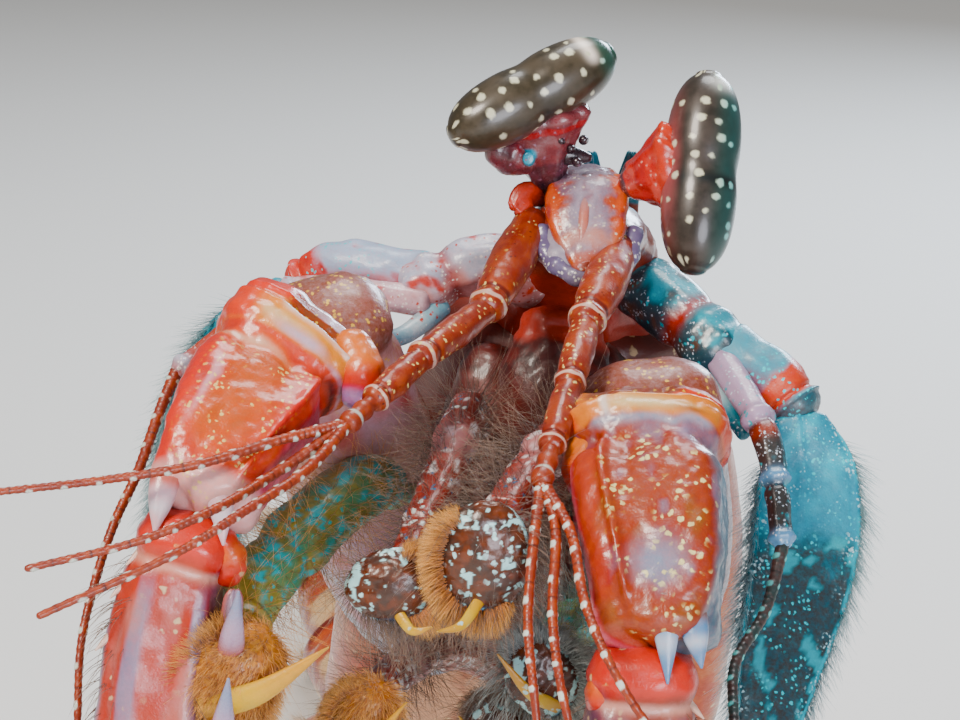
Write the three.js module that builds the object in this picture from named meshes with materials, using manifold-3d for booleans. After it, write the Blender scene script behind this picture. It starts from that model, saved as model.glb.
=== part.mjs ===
// A spearing mantis shrimp, life size and reared up as at the mouth of its burrow.
// Millimetres. +X is the animal's left, -Y its front, +Z is up and the floor is z = 0.

import * as THREE from 'three';
import { mergeVertices } from 'three/addons/utils/BufferGeometryUtils.js';
import ManifoldModule from 'manifold-3d';

const wasm = await ManifoldModule();
wasm.setup();
const { Manifold } = wasm;

// Driving sizes
const clearance = 0.3; // air kept between two neighbouring pieces
const footprintCentre = [1.6, 13.2]; // the middle of the animal's footprint, moved to the origin
const carapaceLength = 44;
const thoraxRingLength = 7.6; // each of the four open rings behind the carapace
const somiteLengths = [16.5, 17, 17.5, 18, 18, 15]; // the six rings of the abdomen
const telsonLength = 25;
const corneaRadii = { right: 2.15, left: 2.3 };
const feelerRadius = 0.32;
const toothCount = 8; // long teeth on each claw finger
const brushLocks = 6; // locks of bristles round the edge of each small hand
const brushReach = 2.4; // how far they stand out
const scaleRays = 4; // stiff rays of the fringe down each side of an antennal scale

// The line of the back, from the front of the carapace down to the end of the abdomen
const backLine = [
  [7.3, -54, 71], [5.9, -43.5, 55], [4.4, -32, 38.5], [3.3, -18, 26], [2.4, -3, 18.6],
  [0.4, 22, 15.2], [-1.6, 48, 14.4], [-1.2, 74, 13.6], [1.6, 98, 11.6], [4.4, 113, 8.8],
];
const backCurve = new THREE.CatmullRomCurve3(
  backLine.map((p) => new THREE.Vector3(...p)), false, 'centripetal');
const backUp = [0, 0.6, 0.8];

// Half widths and half heights of the trunk: distance along the back, width, height
const trunkSizes = [
  [0, 9.0, 5.8], [12, 11.6, 7.6], [28, 13.6, 8.6], [44, 14.0, 8.2], [60, 12.4, 7.2], [76, 13.4, 6.8],
  [110, 15.0, 6.6], [150, 15.6, 6.2], [178, 13.8, 5.4], [190, 13.0, 4.0],
];

const round = (c, s) => [c, s];
// A dorsally arched section: the belly is flatter than the back
const arched = (c, s) => [Math.sign(c) * Math.pow(Math.abs(c), 0.86), s > 0 ? s : 0.62 * s];
// A section with flatter faces, for claws and plates
const boxy = (c, s) => [c, s].map((value) => Math.sign(value) * Math.pow(Math.abs(value), 0.72));

function toSolid(geometry) {
  geometry.deleteAttribute('normal');
  geometry.deleteAttribute('uv');
  const merged = mergeVertices(geometry, 1e-4);
  return new Manifold(new wasm.Mesh({
    numProp: 3,
    vertProperties: new Float32Array(merged.attributes.position.array),
    triVerts: new Uint32Array(merged.index.array),
  }));
}

// A closed round form along a line: each stop is [x, y, z, half width, half height]
function loft(stops, options = {}) {
  const { sides = 12, rings = 8, up = [0, 0, 1], grow = 0, dome = [0.6, 0.6], section = round } = options;
  const line = new THREE.CatmullRomCurve3(
    stops.map((p) => new THREE.Vector3(p[0], p[1], p[2])), false, 'centripetal');
  const sizes = new THREE.CatmullRomCurve3(
    stops.map((p) => new THREE.Vector3(p[3], p[4] ?? p[3], 0)), false, 'catmullrom', 0.5);
  const geometry = new THREE.SphereGeometry(1, sides, rings + 2);
  const position = geometry.attributes.position;
  const hint = new THREE.Vector3(...up);
  for (let row = 0; row <= rings + 2; row += 1) {
    const t = THREE.MathUtils.clamp((row - 1) / rings, 0, 1);
    const centre = line.getPoint(t);
    const along = line.getTangent(t);
    const rise = hint.clone().addScaledVector(along, -hint.dot(along)).normalize();
    const side = rise.clone().cross(along);
    const size = sizes.getPoint(t);
    const halfWidth = Math.max(size.x, 0.05) + grow;
    const halfHeight = Math.max(size.y, 0.05) + grow;
    const narrow = Math.min(halfWidth, halfHeight) - grow;
    const atPole = row === 0 || row === rings + 2;
    if (row <= 1) centre.addScaledVector(along, -grow - (atPole ? dome[0] * narrow : 0));
    if (row >= rings + 1) centre.addScaledVector(along, grow + (atPole ? dome[1] * narrow : 0));
    for (let column = 0; column <= sides; column += 1) {
      const turn = Math.PI - (column % sides) / sides * 2 * Math.PI;
      const [a, b] = atPole ? [0, 0] : section(Math.cos(turn), Math.sin(turn), t);
      const point = centre.clone().addScaledVector(side, a * halfWidth).addScaledVector(rise, b * halfHeight);
      position.setXYZ(row * (sides + 1) + column, point.x, point.y, point.z);
    }
  }
  return toSolid(geometry);
}

// A tapering spine from its root to its tip, bent by an offset of its middle
function spine(root, tip, radius, options = {}) {
  const { bend = [0, 0, 0], sides = 5, rings = 2, grow = 0, flat = 1, up = [0, 0, 1], end = 0.14 } = options;
  const middle = root.map((value, i) => 0.55 * value + 0.45 * tip[i] + bend[i]);
  const stops = [
    [...root, radius, radius * flat], [...middle, 0.8 * radius, 0.8 * radius * flat], [...tip, end, end]];
  return loft(stops, { sides, rings, up, grow, dome: [0, 0] });
}

const join = (pieces) => Manifold.union(pieces);

// A flat tapered lock of bristles
function lock(root, tip, width, grow, up = [0, -1, 0]) {
  return spine(root, tip, width, { sides: 4, rings: 1, grow, flat: 0.5, up, end: 0.25 });
}

const nodes = [];

function boxesMeet(a, b) {
  for (let i = 0; i < 3; i += 1) {
    if (a.min[i] > b.max[i] + clearance || b.min[i] > a.max[i] + clearance) return false;
  }
  return true;
}

function largestSurface(solid) {
  const pieces = solid.decompose();
  let best = pieces[0];
  for (const piece of pieces) {
    if (piece.volume() > best.volume()) best = piece;
  }
  return best;
}

// Adds one named piece, cut back to leave the clearance to every piece that is there already
function addNode(name, colour, finish, make, tolerance = 0.11) {
  let solid = make(0);
  const box = solid.boundingBox();
  for (const other of nodes) {
    if (boxesMeet(box, other.box)) solid = solid.subtract(other.grown);
  }
  solid = largestSurface(largestSurface(solid.trimByPlane([0, 0, 1], 0)).simplify(tolerance));
  const grown = make(clearance);
  nodes.push({ name, colour, finish, solid, grown, box: grown.boundingBox() });
}

const shellFinish = { roughness: 0.35, metalness: 0 };
const eyeFinish = { roughness: 0.12, metalness: 0 };
const softFinish = { roughness: 0.7, metalness: 0 };
const mirrorSides = [[-1, 'right'], [1, 'left']];

// Trunk

function trunkSize(distance) {
  let i = 0;
  while (i < trunkSizes.length - 2 && distance > trunkSizes[i + 1][0]) i += 1;
  const [d0, w0, h0] = trunkSizes[i];
  const [d1, w1, h1] = trunkSizes[i + 1];
  const t = THREE.MathUtils.clamp((distance - d0) / (d1 - d0), 0, 1);
  const ease = t * t * (3 - 2 * t);
  return [w0 + (w1 - w0) * ease, h0 + (h1 - h0) * ease];
}

const backTotal = backCurve.getLength();

function trunkStops(from, to, count, swell) {
  const stops = [];
  for (let i = 0; i <= count; i += 1) {
    const t = i / count;
    const distance = from + (to - from) * t;
    const p = backCurve.getPointAt(THREE.MathUtils.clamp(distance / backTotal, 0, 1));
    const [w, h] = trunkSize(distance);
    const [sw, sh] = swell(t);
    stops.push([p.x, p.y, p.z, w * sw, h * sh]);
  }
  return stops;
}

function trunkPoint(distance, sideways, rise) {
  const t = THREE.MathUtils.clamp(distance / backTotal, 0, 1);
  const p = backCurve.getPointAt(t);
  const along = backCurve.getTangentAt(t);
  const hint = new THREE.Vector3(...backUp);
  const up = hint.clone().addScaledVector(along, -hint.dot(along)).normalize();
  const side = along.clone().cross(up).normalize();
  if (side.x < 0) side.negate();
  return p.addScaledVector(side, sideways).addScaledVector(up, rise).toArray();
}

// The carapace widens backward; its front edge is drawn in around the head
addNode('carapace', '#c8604a', shellFinish, (grow) => {
  const swell = (t) => [t < 0.1 ? 0.9 + t : 1, 1];
  const shell = loft(trunkStops(0, carapaceLength, 8, swell), {
    sides: 18, rings: 7, up: backUp, grow, section: arched, dome: [0.25, 0.08],
  });
  const cheeks = mirrorSides.map(([side]) => loft([
    [...trunkPoint(8, side * 9.5, -1.5), 2.0, 3.2], [...trunkPoint(20, side * 11.2, -2.6), 2.4, 4.2],
    [...trunkPoint(38, side * 12.2, -2.8), 2.2, 3.8]], { sides: 7, rings: 2, up: backUp, grow }));
  return join([shell, ...cheeks]);
});

const thoraxStart = carapaceLength;
for (let ring = 0; ring < 4; ring += 1) {
  const from = thoraxStart + ring * thoraxRingLength - 0.8;
  addNode(`thorax_${ring + 5}`, '#d07a5a', shellFinish, (grow) => loft(
    trunkStops(from, from + thoraxRingLength + 0.8, 4, (t) => [0.95 + 0.07 * t, 0.95 + 0.07 * t]),
    { sides: 16, rings: 2, up: backUp, grow, section: arched, dome: [0.05, 0.05] }));
}

// One swimming leg: a stalk and two fringed paddles, hanging back below the ring
function swimmingLeg(distance, side, reach, grow) {
  const hip = trunkPoint(distance, side * 8.5, -2.4);
  const knee = [hip[0] + side * 2.2, hip[1] + 1.5, Math.max(hip[2] - 5.4, 4.6)];
  const outer = [knee[0] + side * 3.8, knee[1] + reach, 1.6];
  const inner = [knee[0] - side * 3.4, knee[1] + reach * 0.92, 1.7];
  const stalk = loft([[...hip, 2.6, 1.8], [...knee, 2.4, 1.2]], { sides: 5, rings: 1, up: [0, 1, 0], grow });
  // each paddle thins out behind into its fringe
  const paddles = [outer, inner].map((tip) => {
    const middle = knee.map((value, i) => 0.45 * value + 0.55 * tip[i]);
    return loft([[...knee, 1.6, 0.7], [...middle, 3.2, 0.6], [...tip, 2.2, 0.3]],
      { sides: 5, rings: 2, up: [0, -0.4, 1], grow, dome: [0.6, 1.2] });
  });
  return [stalk, ...paddles];
}

let ringStart = thoraxStart + 4 * thoraxRingLength;
somiteLengths.forEach((length, i) => {
  const from = ringStart - 1.2;
  const to = ringStart + length;
  addNode(`abdomen_${i + 1}`, i % 2 ? '#e3a184' : '#b9573f', shellFinish, (grow) => {
    const swell = (t) => [0.93 + 0.08 * t, 0.9 + 0.11 * t];
    const pieces = [loft(trunkStops(from, to, 5, swell),
      { sides: 12, rings: 2, up: backUp, grow, section: arched, dome: [0.05, 0.05] })];
    if (i < 5) {
      for (const [side] of mirrorSides) pieces.push(...swimmingLeg(from + 0.45 * length, side, 9.2, grow));
    } else {
      for (const [side] of mirrorSides) {
        pieces.push(spine(
          trunkPoint(to - 3, side * 9, 2.2), trunkPoint(to + 2.2, side * 9.6, 2.6), 1.0, { grow, rings: 1 }));
      }
    }
    return join(pieces);
  }, 0.15);
  ringStart += length;
});

// The telson: a broad shield with a middle boss and blunt teeth along its hind edge
const tailRoot = trunkPoint(ringStart - 1.0, 0, -0.4);
const tailEnd = [tailRoot[0] + 3.6, tailRoot[1] + telsonLength, 0.5];
const tailAt = (t, sideways, rise) => [
  THREE.MathUtils.lerp(tailRoot[0], tailEnd[0], t) + sideways,
  THREE.MathUtils.lerp(tailRoot[1], tailEnd[1], t) - 0.14 * sideways,
  THREE.MathUtils.lerp(tailRoot[2], tailEnd[2], t) + rise,
];

addNode('telson', '#c96a4b', shellFinish, (grow) => {
  const plate = loft([
    [...tailAt(0.02, 0, 0), 9.4, 2.8], [...tailAt(0.25, 0, 0), 12.2, 2.8], [...tailAt(0.6, 0, 0), 12.6, 2.2],
    [...tailAt(0.86, 0, 0), 10.2, 1.6], [...tailAt(1, 0, 0), 6.6, 1.2]],
    { sides: 14, rings: 4, grow, section: arched, dome: [0.1, 0.8] });
  const boss = loft([[...tailAt(0.1, 0, 2.0), 1.6, 1.2], [...tailAt(0.45, 0, 1.9), 2.2, 1.2],
    [...tailAt(0.8, 0, 1.0), 1.0, 0.8]], { sides: 6, rings: 3, grow });
  const teeth = [-3, -2, -1, 1, 2, 3].map((k) => spine(
    tailAt(0.92 - 0.05 * Math.abs(k), k * 2.9, 0.1), tailAt(1.1 - 0.075 * Math.abs(k), k * 3.3, 0.2), 1.25,
    { grow, sides: 4, rings: 1 }));
  return join([plate, boss, ...teeth]);
});

// Each uropod: a thick root with a forked spine, and an outer and an inner paddle laid on the floor
for (const [side, word] of mirrorSides) {
  addNode(`uropod_${word}`, '#d98b62', shellFinish, (grow) => {
    const hip = trunkPoint(ringStart - 5, side * 11.2, -1.6);
    const knee = [hip[0] + side * 4.0, hip[1] + 7, 4.6];
    const root = loft([[...hip, 3.0, 2.4], [...knee, 3.2, 2.0]], { sides: 8, rings: 2, grow });
    const outerTip = [knee[0] + side * 9.5, knee[1] + 14.5, 0.35];
    const innerTip = [knee[0] + side * 1.6, knee[1] + 16.5, 0.35];
    const blade = (tip, width) => {
      const middle = knee.map((value, i) => 0.45 * value + 0.55 * tip[i]);
      return loft([[...knee, 2.0, 1.2], [...middle, width, 0.9], [...tip, 0.55 * width, 0.6]],
        { sides: 7, rings: 2, grow, dome: [0.3, 2.2] });
    };
    const fork = spine([knee[0] - side * 0.5, knee[1] - 1, 3.4],
      [knee[0] + side * 5.2, knee[1] + 15.5, 1.6], 1.2, { grow, bend: [0, 0, -0.3], sides: 4 });
    const bristles = [0.28, 0.46, 0.64, 0.8].map((t) => {
      const at = knee.map((value, i) => value + (outerTip[i] - value) * t);
      return spine([at[0] + side * 2.0, at[1] - 1.0, at[2]],
        [at[0] + side * 5.2, at[1] + 1.6, at[2] + 0.2], 0.5, { grow, sides: 4, rings: 1 });
    });
    return join([root, blade(outerTip, 3.5), blade(innerTip, 3.1), fork, ...bristles]);
  });
}

// Walking legs on the last three thorax rings: thigh, shin and a flat foot, with a slender side branch
const legSteps = [
  { ring: 1, hip: 8.6, knee: [19, -7, 13.5], foot: [24.5, -12] },
  { ring: 2, hip: 9.0, knee: [20.5, -1.5, 12], foot: [26.5, -2.5] },
  { ring: 3, hip: 9.2, knee: [20, 4, 11], foot: [25.5, 6.5] },
];

legSteps.forEach((step, i) => {
  for (const [side, word] of mirrorSides) {
    addNode(`walking_leg_${i + 1}_${word}`, '#dc9a74', shellFinish, (grow) => {
      const distance = thoraxStart + (step.ring + 0.5) * thoraxRingLength;
      const centre = trunkPoint(distance, 0, 0);
      const hip = trunkPoint(distance, side * step.hip, -2.6);
      const knee = [centre[0] + side * step.knee[0], centre[1] + step.knee[1], step.knee[2]];
      const shin = [
        centre[0] + side * (0.35 * step.knee[0] + 0.65 * step.foot[0]),
        centre[1] + 0.35 * step.knee[1] + 0.65 * step.foot[1], 5.2];
      const foot = [centre[0] + side * step.foot[0], centre[1] + step.foot[1], 0.2];
      const thigh = loft([[...hip, 1.9, 1.9], [...knee, 1.5, 1.6]], { sides: 6, rings: 2, grow });
      const lower = loft([[...knee, 1.5, 1.5], [...shin, 1.1, 1.2], [...foot, 1.0, 1.0]],
        { sides: 6, rings: 4, up: [0, 1, 0], grow, dome: [0.4, 0] });
      const branch = spine([knee[0] - side * 1.5, knee[1] + 0.3, knee[2] - 0.4],
        [knee[0] + side * 1.5, knee[1] + 4.6, 5.4], 0.75, { grow, end: 0.3, sides: 4 });
      return join([thigh, lower, branch]);
    });
  }
});

// Head: a stout front that carries the eyes, and the shield that covers it

addNode('head_front', '#a04a44', shellFinish, (grow) => {
  const neck = loft([[7.3, -53, 70.5, 6.6, 5.0], [7.7, -57.2, 75.6, 5.2, 3.8], [7.9, -61, 78.2, 3.8, 2.6],
    [8.0, -64.6, 77.6, 2.8, 1.7]], { sides: 11, rings: 4, up: backUp, grow, section: arched });
  const rim = loft([[5.1, -63.2, 79.4, 0.5], [5.8, -65.2, 77.8, 0.55], [8.0, -66.1, 77.0, 0.6],
    [10.2, -65.2, 77.8, 0.55], [10.9, -63.2, 79.4, 0.5]], { sides: 4, rings: 6, up: [0, 1, 0], grow });
  const lobes = [-2.1, 0.1, 2.1].map((x) => spine(
    [8.2 + x, -57.8, 79.2], [8.2 + 1.25 * x, -57.4, 82.7], 1.0,
    { grow, sides: 4, rings: 1, flat: 0.5, up: [0, 1, 0], end: 0.4 }));
  return join([neck, rim, ...lobes]);
});

addNode('rostral_plate', '#b9785f', shellFinish, (grow) => {
  const plate = loft([
    [7.9, -59.6, 82.0, 1.7, 0.7], [7.9, -61.8, 81.4, 2.3, 0.95], [7.9, -64.2, 79.5, 2.0, 0.85],
    [7.9, -65.8, 77.9, 0.8, 0.5]], { sides: 9, rings: 4, up: [0, -0.6, 0.8], grow });
  const keel = spine([7.9, -61.4, 82.1], [7.5, -65.6, 78.7], 0.45, { grow, bend: [0, -0.4, 0.3], end: 0.3 });
  return join([plate, keel]);
});

// Eyes: a long bean lying across the end of its stalk, slightly waisted
function corneaForm(a, b, radius, grow) {
  const stops = [];
  const count = 10;
  for (let i = 0; i <= count; i += 1) {
    const t = 0.02 + 0.96 * i / count;
    const u = 2 * t - 1;
    const r = radius * Math.pow(1 - Math.pow(Math.abs(u), 3.4), 0.5) * (1 - 0.07 * Math.exp(-40 * u * u));
    stops.push([...a.map((value, k) => value + (b[k] - value) * t), r, r]);
  }
  return loft(stops, { sides: 12, rings: 11, up: [0, -1, 0.2], grow, dome: [0.4, 0.4] });
}

const rightEyeEnds = [[-0.35, -63.7, 85.15], [9.45, -60.1, 89.75]];
const leftEyeEnds = [[15.25, -61.4, 88.7], [14.1, -67.0, 77.6]];

addNode('eye_right', '#4b4638', eyeFinish, (grow) => corneaForm(...rightEyeEnds, corneaRadii.right, grow));
addNode('eye_left', '#3f4a44', eyeFinish, (grow) => corneaForm(...leftEyeEnds, corneaRadii.left, grow));

addNode('eyestalk_right', '#7d4552', shellFinish, (grow) => join([
  loft([[6.6, -59.4, 79.8, 1.0], [5.7, -60.6, 81.8, 1.05, 1.0], [5.2, -61.1, 83.9, 2.0, 1.5],
    [4.9, -61.6, 86.0, 3.3, 1.6]], { sides: 8, rings: 3, up: [0, -1, 0], grow }),
  spine([6.6, -61.2, 83.6], [8.0, -61.2, 83.4], 0.7, { grow, rings: 1, end: 0.3 }),
  spine([4.0, -61.6, 83.6], [1.9, -62.3, 84.1], 1.1, { grow, rings: 1, end: 0.5 }),
]));
addNode('eyestalk_left', '#c23a38', shellFinish, (grow) => join([
  loft([[9.2, -60.0, 80.6, 1.0], [10.4, -61.6, 81.8, 0.95, 1.0], [11.9, -62.9, 82.6, 1.9, 1.6],
    [13.2, -63.7, 83.0, 3.2, 1.8]], { sides: 8, rings: 3, up: [0, -1, 0], grow }),
]));

// Antennules: three stout joints each, then three beaded feelers
const antennules = {
  right: {
    joints: [[4.6, -61.8, 79.4], [1.8, -69.4, 76.1], [-2, -75.9, 74.9], [-4.5, -79.5, 73.5]],
    feelers: [
      [[-9.3, -82.9, 72.3], [-14.1, -85.2, 71.5], [-19.2, -86.4, 71.0], [-24.4, -87.7, 70.8]],
      [[-9.9, -84.0, 70.6], [-13, -87.2, 69.6], [-16.8, -89.4, 68.6], [-22.6, -91.0, 67.6]],
      [[-8.1, -84.9, 71.1], [-11.4, -88.3, 69.8], [-14.6, -90.6, 68.4], [-21.6, -94.1, 66.1]],
    ],
  },
  left: {
    joints: [[9.9, -63.6, 78.2], [7.6, -71.5, 75.8], [6.5, -77.3, 73.7], [5.4, -82.1, 71.6]],
    feelers: [
      [[4.4, -86.7, 68.2], [4.0, -90.1, 64.2], [4.3, -92.0, 60.9], [4.9, -93.4, 55.4]],
      [[5.5, -86.5, 68.6], [5.3, -90.5, 64.8], [5.7, -92.5, 61.6], [7.4, -95.0, 55.0]],
      [[6.3, -87.2, 68.4], [7.0, -91.4, 65.8], [8.4, -94.4, 63.2], [11.6, -96.2, 58.4]],
    ],
  },
};

for (const [, word] of mirrorSides) {
  const { joints, feelers } = antennules[word];
  const radii = [[1.15, 1.35, 1.0], [0.8, 0.95, 0.8], [0.7, 0.85, 0.72]];
  addNode(`antennule_${word}`, '#b5553a', shellFinish, (grow) => join(radii.map(([a, b, c], i) => {
    const [from, to] = [joints[i], joints[i + 1]];
    const middle = from.map((value, k) => 0.5 * (value + to[k]));
    return loft([[...from, a], [...middle, b], [...to, c]], { sides: 8, rings: 3, up: [0, -0.3, 1], grow });
  })));
  addNode(`antennule_feelers_${word}`, '#a8503c', shellFinish, (grow) => {
    const root = joints[3];
    const toward = joints[3].map((value, k) => value + 0.55 * (value - joints[2][k]));
    const stub = loft([[...root, 0.5], [...toward, 0.62]], { sides: 8, rings: 1, up: [0, -0.3, 1], grow });
    return join([stub, ...feelers.map((points) => loft(
      [[...toward, 1.15 * feelerRadius], ...points.map((p, i) => [...p, feelerRadius * (1 - 0.1 * i)])],
      { sides: 4, rings: 7, up: [0, -0.3, 1], grow, dome: [0, 1] }))]);
  }, 0.04);
}

// Antennae: a thick root with a soft finger, a jointed shaft with its feeler, and a broad scale
const antennae = {
  right: {
    root: [[4.6, -56.8, 74.6, 1.9], [2.0, -58.6, 76.2, 1.8], [-2.6, -59.4, 74.7, 1.7]],
    finger: [[-1.0, -60.0, 73.8], [-5.9, -65.3, 72.8], [0, 0, -1.6]],
    shaft: [[-2.2, -60.6, 74.2, 0.95], [-9.9, -60.6, 74.9, 0.8], [-13, -62.8, 73.5, 0.75],
      [-16.9, -66.6, 71.4, 0.55]],
    feeler: [[-17.8, -68.1, 69.4], [-18.9, -71.3, 66.5], [-20.1, -73.2, 64.1], [-21.1, -75.2, 61.2],
      [-21.8, -77.4, 58.0], [-21.9, -79.6, 53.6]],
    scaleRoot: [[-2.0, -58.6, 75.2, 1.6], [-7.7, -57, 75.6, 1.5], [-9.8, -56.2, 74.2, 1.4]],
    scale: [[-10.6, -56.2, 73.6, 1.4, 0.8], [-13.8, -56.6, 69.5, 3.0, 0.5], [-15.8, -58.2, 63.5, 3.3, 0.42],
      [-16.8, -60.4, 57.5, 2.6, 0.4], [-17.0, -62.6, 52.0, 1.0, 0.35]],
  },
  left: {
    root: [[11.2, -57.4, 74.6, 2.0], [12.6, -59.8, 74.2, 2.1], [16.2, -64.3, 72.0, 1.9]],
    finger: [[15.6, -64.6, 70.8], [17.2, -68.9, 68.2], [0, -0.4, -0.6]],
    shaft: [[16.2, -65.2, 71.6, 1.0], [18.4, -71.5, 68.5, 0.85], [19, -76.1, 63.7, 0.6]],
    feeler: [[17.8, -79, 60.7], [15.9, -81.8, 58.5], [15.6, -85.4, 56.2], [15.2, -88.6, 53.8],
      [14.6, -91.4, 50.2]],
    scaleRoot: [[16.6, -64.0, 72.0, 1.8], [19.4, -65.4, 70.4, 1.75], [20.6, -66.2, 69, 1.7]],
    scale: [[20.7, -67.0, 68.4, 1.8, 0.9], [21.2, -68.6, 65.4, 3.1, 0.5], [20.7, -71.4, 61.2, 3.4, 0.42],
      [18.9, -75.9, 55.8, 2.6, 0.4], [17.4, -80.2, 50.2, 1.2, 0.35]],
  },
};

for (const [, word] of mirrorSides) {
  const form = antennae[word];
  addNode(`antenna_root_${word}`, word === 'right' ? '#d9a39b' : '#3f6f70', shellFinish, (grow) => join([
    loft(form.root, { sides: 10, rings: 4, up: [0, -0.3, 1], grow }),
    spine(form.finger[0], form.finger[1], 0.75,
      { bend: form.finger[2].map((b) => 0.5 * b), grow, end: 0.45, sides: 6 }),
  ]));
  addNode(`antenna_${word}`, word === 'right' ? '#cf8f86' : '#6b7f83', shellFinish, (grow) => loft(
    form.shaft, { sides: 8, rings: 6, up: [0, -0.3, 1], grow }));
  const last = form.shaft[form.shaft.length - 1];
  addNode(`antenna_feeler_${word}`, '#8c4a44', shellFinish, (grow) => loft(
    [[last[0], last[1], last[2], 0.4], ...form.feeler.map((p, i) => [...p, feelerRadius * (1.1 - 0.07 * i)])],
    { sides: 4, rings: 9, up: [0, -0.3, 1], grow, dome: [0, 1] }), 0.04);
  addNode(`antennal_scale_${word}`, '#5fb0b8', shellFinish, (grow) => {
    const blade = form.scale;
    const line = new THREE.CatmullRomCurve3(
      blade.map((p) => new THREE.Vector3(p[0], p[1], p[2])), false, 'centripetal');
    const rays = [];
    for (const edge of [-1, 1]) {
      for (let i = 0; i < scaleRays; i += 1) {
        const t = 0.3 + 0.62 * i / (scaleRays - 1);
        const at = line.getPoint(t);
        const halfWidth = 3.2 * Math.pow(1 - Math.pow(Math.abs(2 * t - 0.95), 2.4), 0.5) - 0.3;
        rays.push(lock([at.x + edge * (halfWidth - 1.0), at.y, at.z],
          [at.x + edge * (halfWidth + 1.5), at.y - 0.6, at.z - 1.6], 0.75, grow));
      }
    }
    return join([
      loft(form.scaleRoot, { sides: 8, rings: 3, up: [0, -0.3, 1], grow }),
      loft(blade, { sides: 6, rings: 5, up: [0.15, -1, 0.2], grow, dome: [0.6, 1.6] }),
      ...rays,
    ]);
  });
}

// Claws: a long upper arm from below the carapace, a stout wrist, and the hand folded down with its
// toothed finger laid along it
const claws = {
  right: {
    arm: [[-1.6, -47.0, 47.5, 3.6, 3.2], [-3.6, -54.5, 54.5, 4.6, 4.0], [-6.2, -62.6, 65.0, 4.8, 4.2],
      [-8.2, -68.6, 75, 4, 3.2]],
    wrist: [[-9, -72.6, 75.5, 3.9, 2.7], [-11, -75.9, 73.3, 4.1, 3.2], [-12.7, -79.6, 71.2, 3.8, 3.3],
      [-14, -82.9, 68.7, 3, 2.5]],
    teeth: [[-0.8, 1.6, -0.9], [0.45, 1.4, -1.6]], // sideways place, height of the root and of the tip
    hand: [[-14.7, -83.4, 67.1, 2.5, 2.2], [-16, -84.4, 62.7, 2.9, 2.5], [-17.4, -86.2, 50.0, 3.0, 2.6],
      [-17.4, -83.4, 36.0, 2.4, 2.2], [-16.2, -80.6, 25.0, 1.6, 1.6]],
  },
  left: {
    arm: [[12.6, -47.0, 47.5, 3.6, 3.2], [12.6, -55.0, 53.5, 4.6, 4.0], [12.0, -64.4, 61.8, 4.8, 4.2],
      [11.2, -73.9, 71.1, 4.1, 3.2]],
    wrist: [[10.9, -78.4, 71.7, 4.2, 2.7], [10.8, -81.5, 70, 4.3, 3.2], [11, -85.5, 66.8, 4.1, 3.5],
      [11, -88.7, 63.1, 3.3, 2.7]],
    teeth: [[0.15, 2.6, -1.8], [0.75, 1.4, -0.9]],
    hand: [[10.3, -89, 61.4, 2.7, 2.3], [10.1, -89.6, 56.9, 3.1, 2.6], [11.0, -91.4, 45.0, 3.0, 2.6],
      [10.8, -87.6, 32.0, 2.4, 2.2], [10.0, -83.6, 21.4, 1.6, 1.6]],
  },
};

// Sizes of the wrist along its length: a thick collar, a groove behind it, then a long block
const wristSwell = [
  [0, 1.02, 1.0], [0.14, 1.1, 1.12], [0.29, 0.88, 0.86], [0.42, 1.02, 1.04], [0.72, 1.0, 1.02], [1, 0.98, 1.0],
];

function wristStops(stops) {
  const line = new THREE.CatmullRomCurve3(
    stops.map((p) => new THREE.Vector3(p[0], p[1], p[2])), false, 'centripetal');
  const sizes = new THREE.CatmullRomCurve3(
    stops.map((p) => new THREE.Vector3(p[3], p[4], 0)), false, 'catmullrom', 0.5);
  return wristSwell.map(([t, wide, high]) => {
    const p = line.getPoint(t);
    const size = sizes.getPoint(t);
    return [p.x, p.y, p.z, size.x * wide, size.y * high];
  });
}

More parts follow.
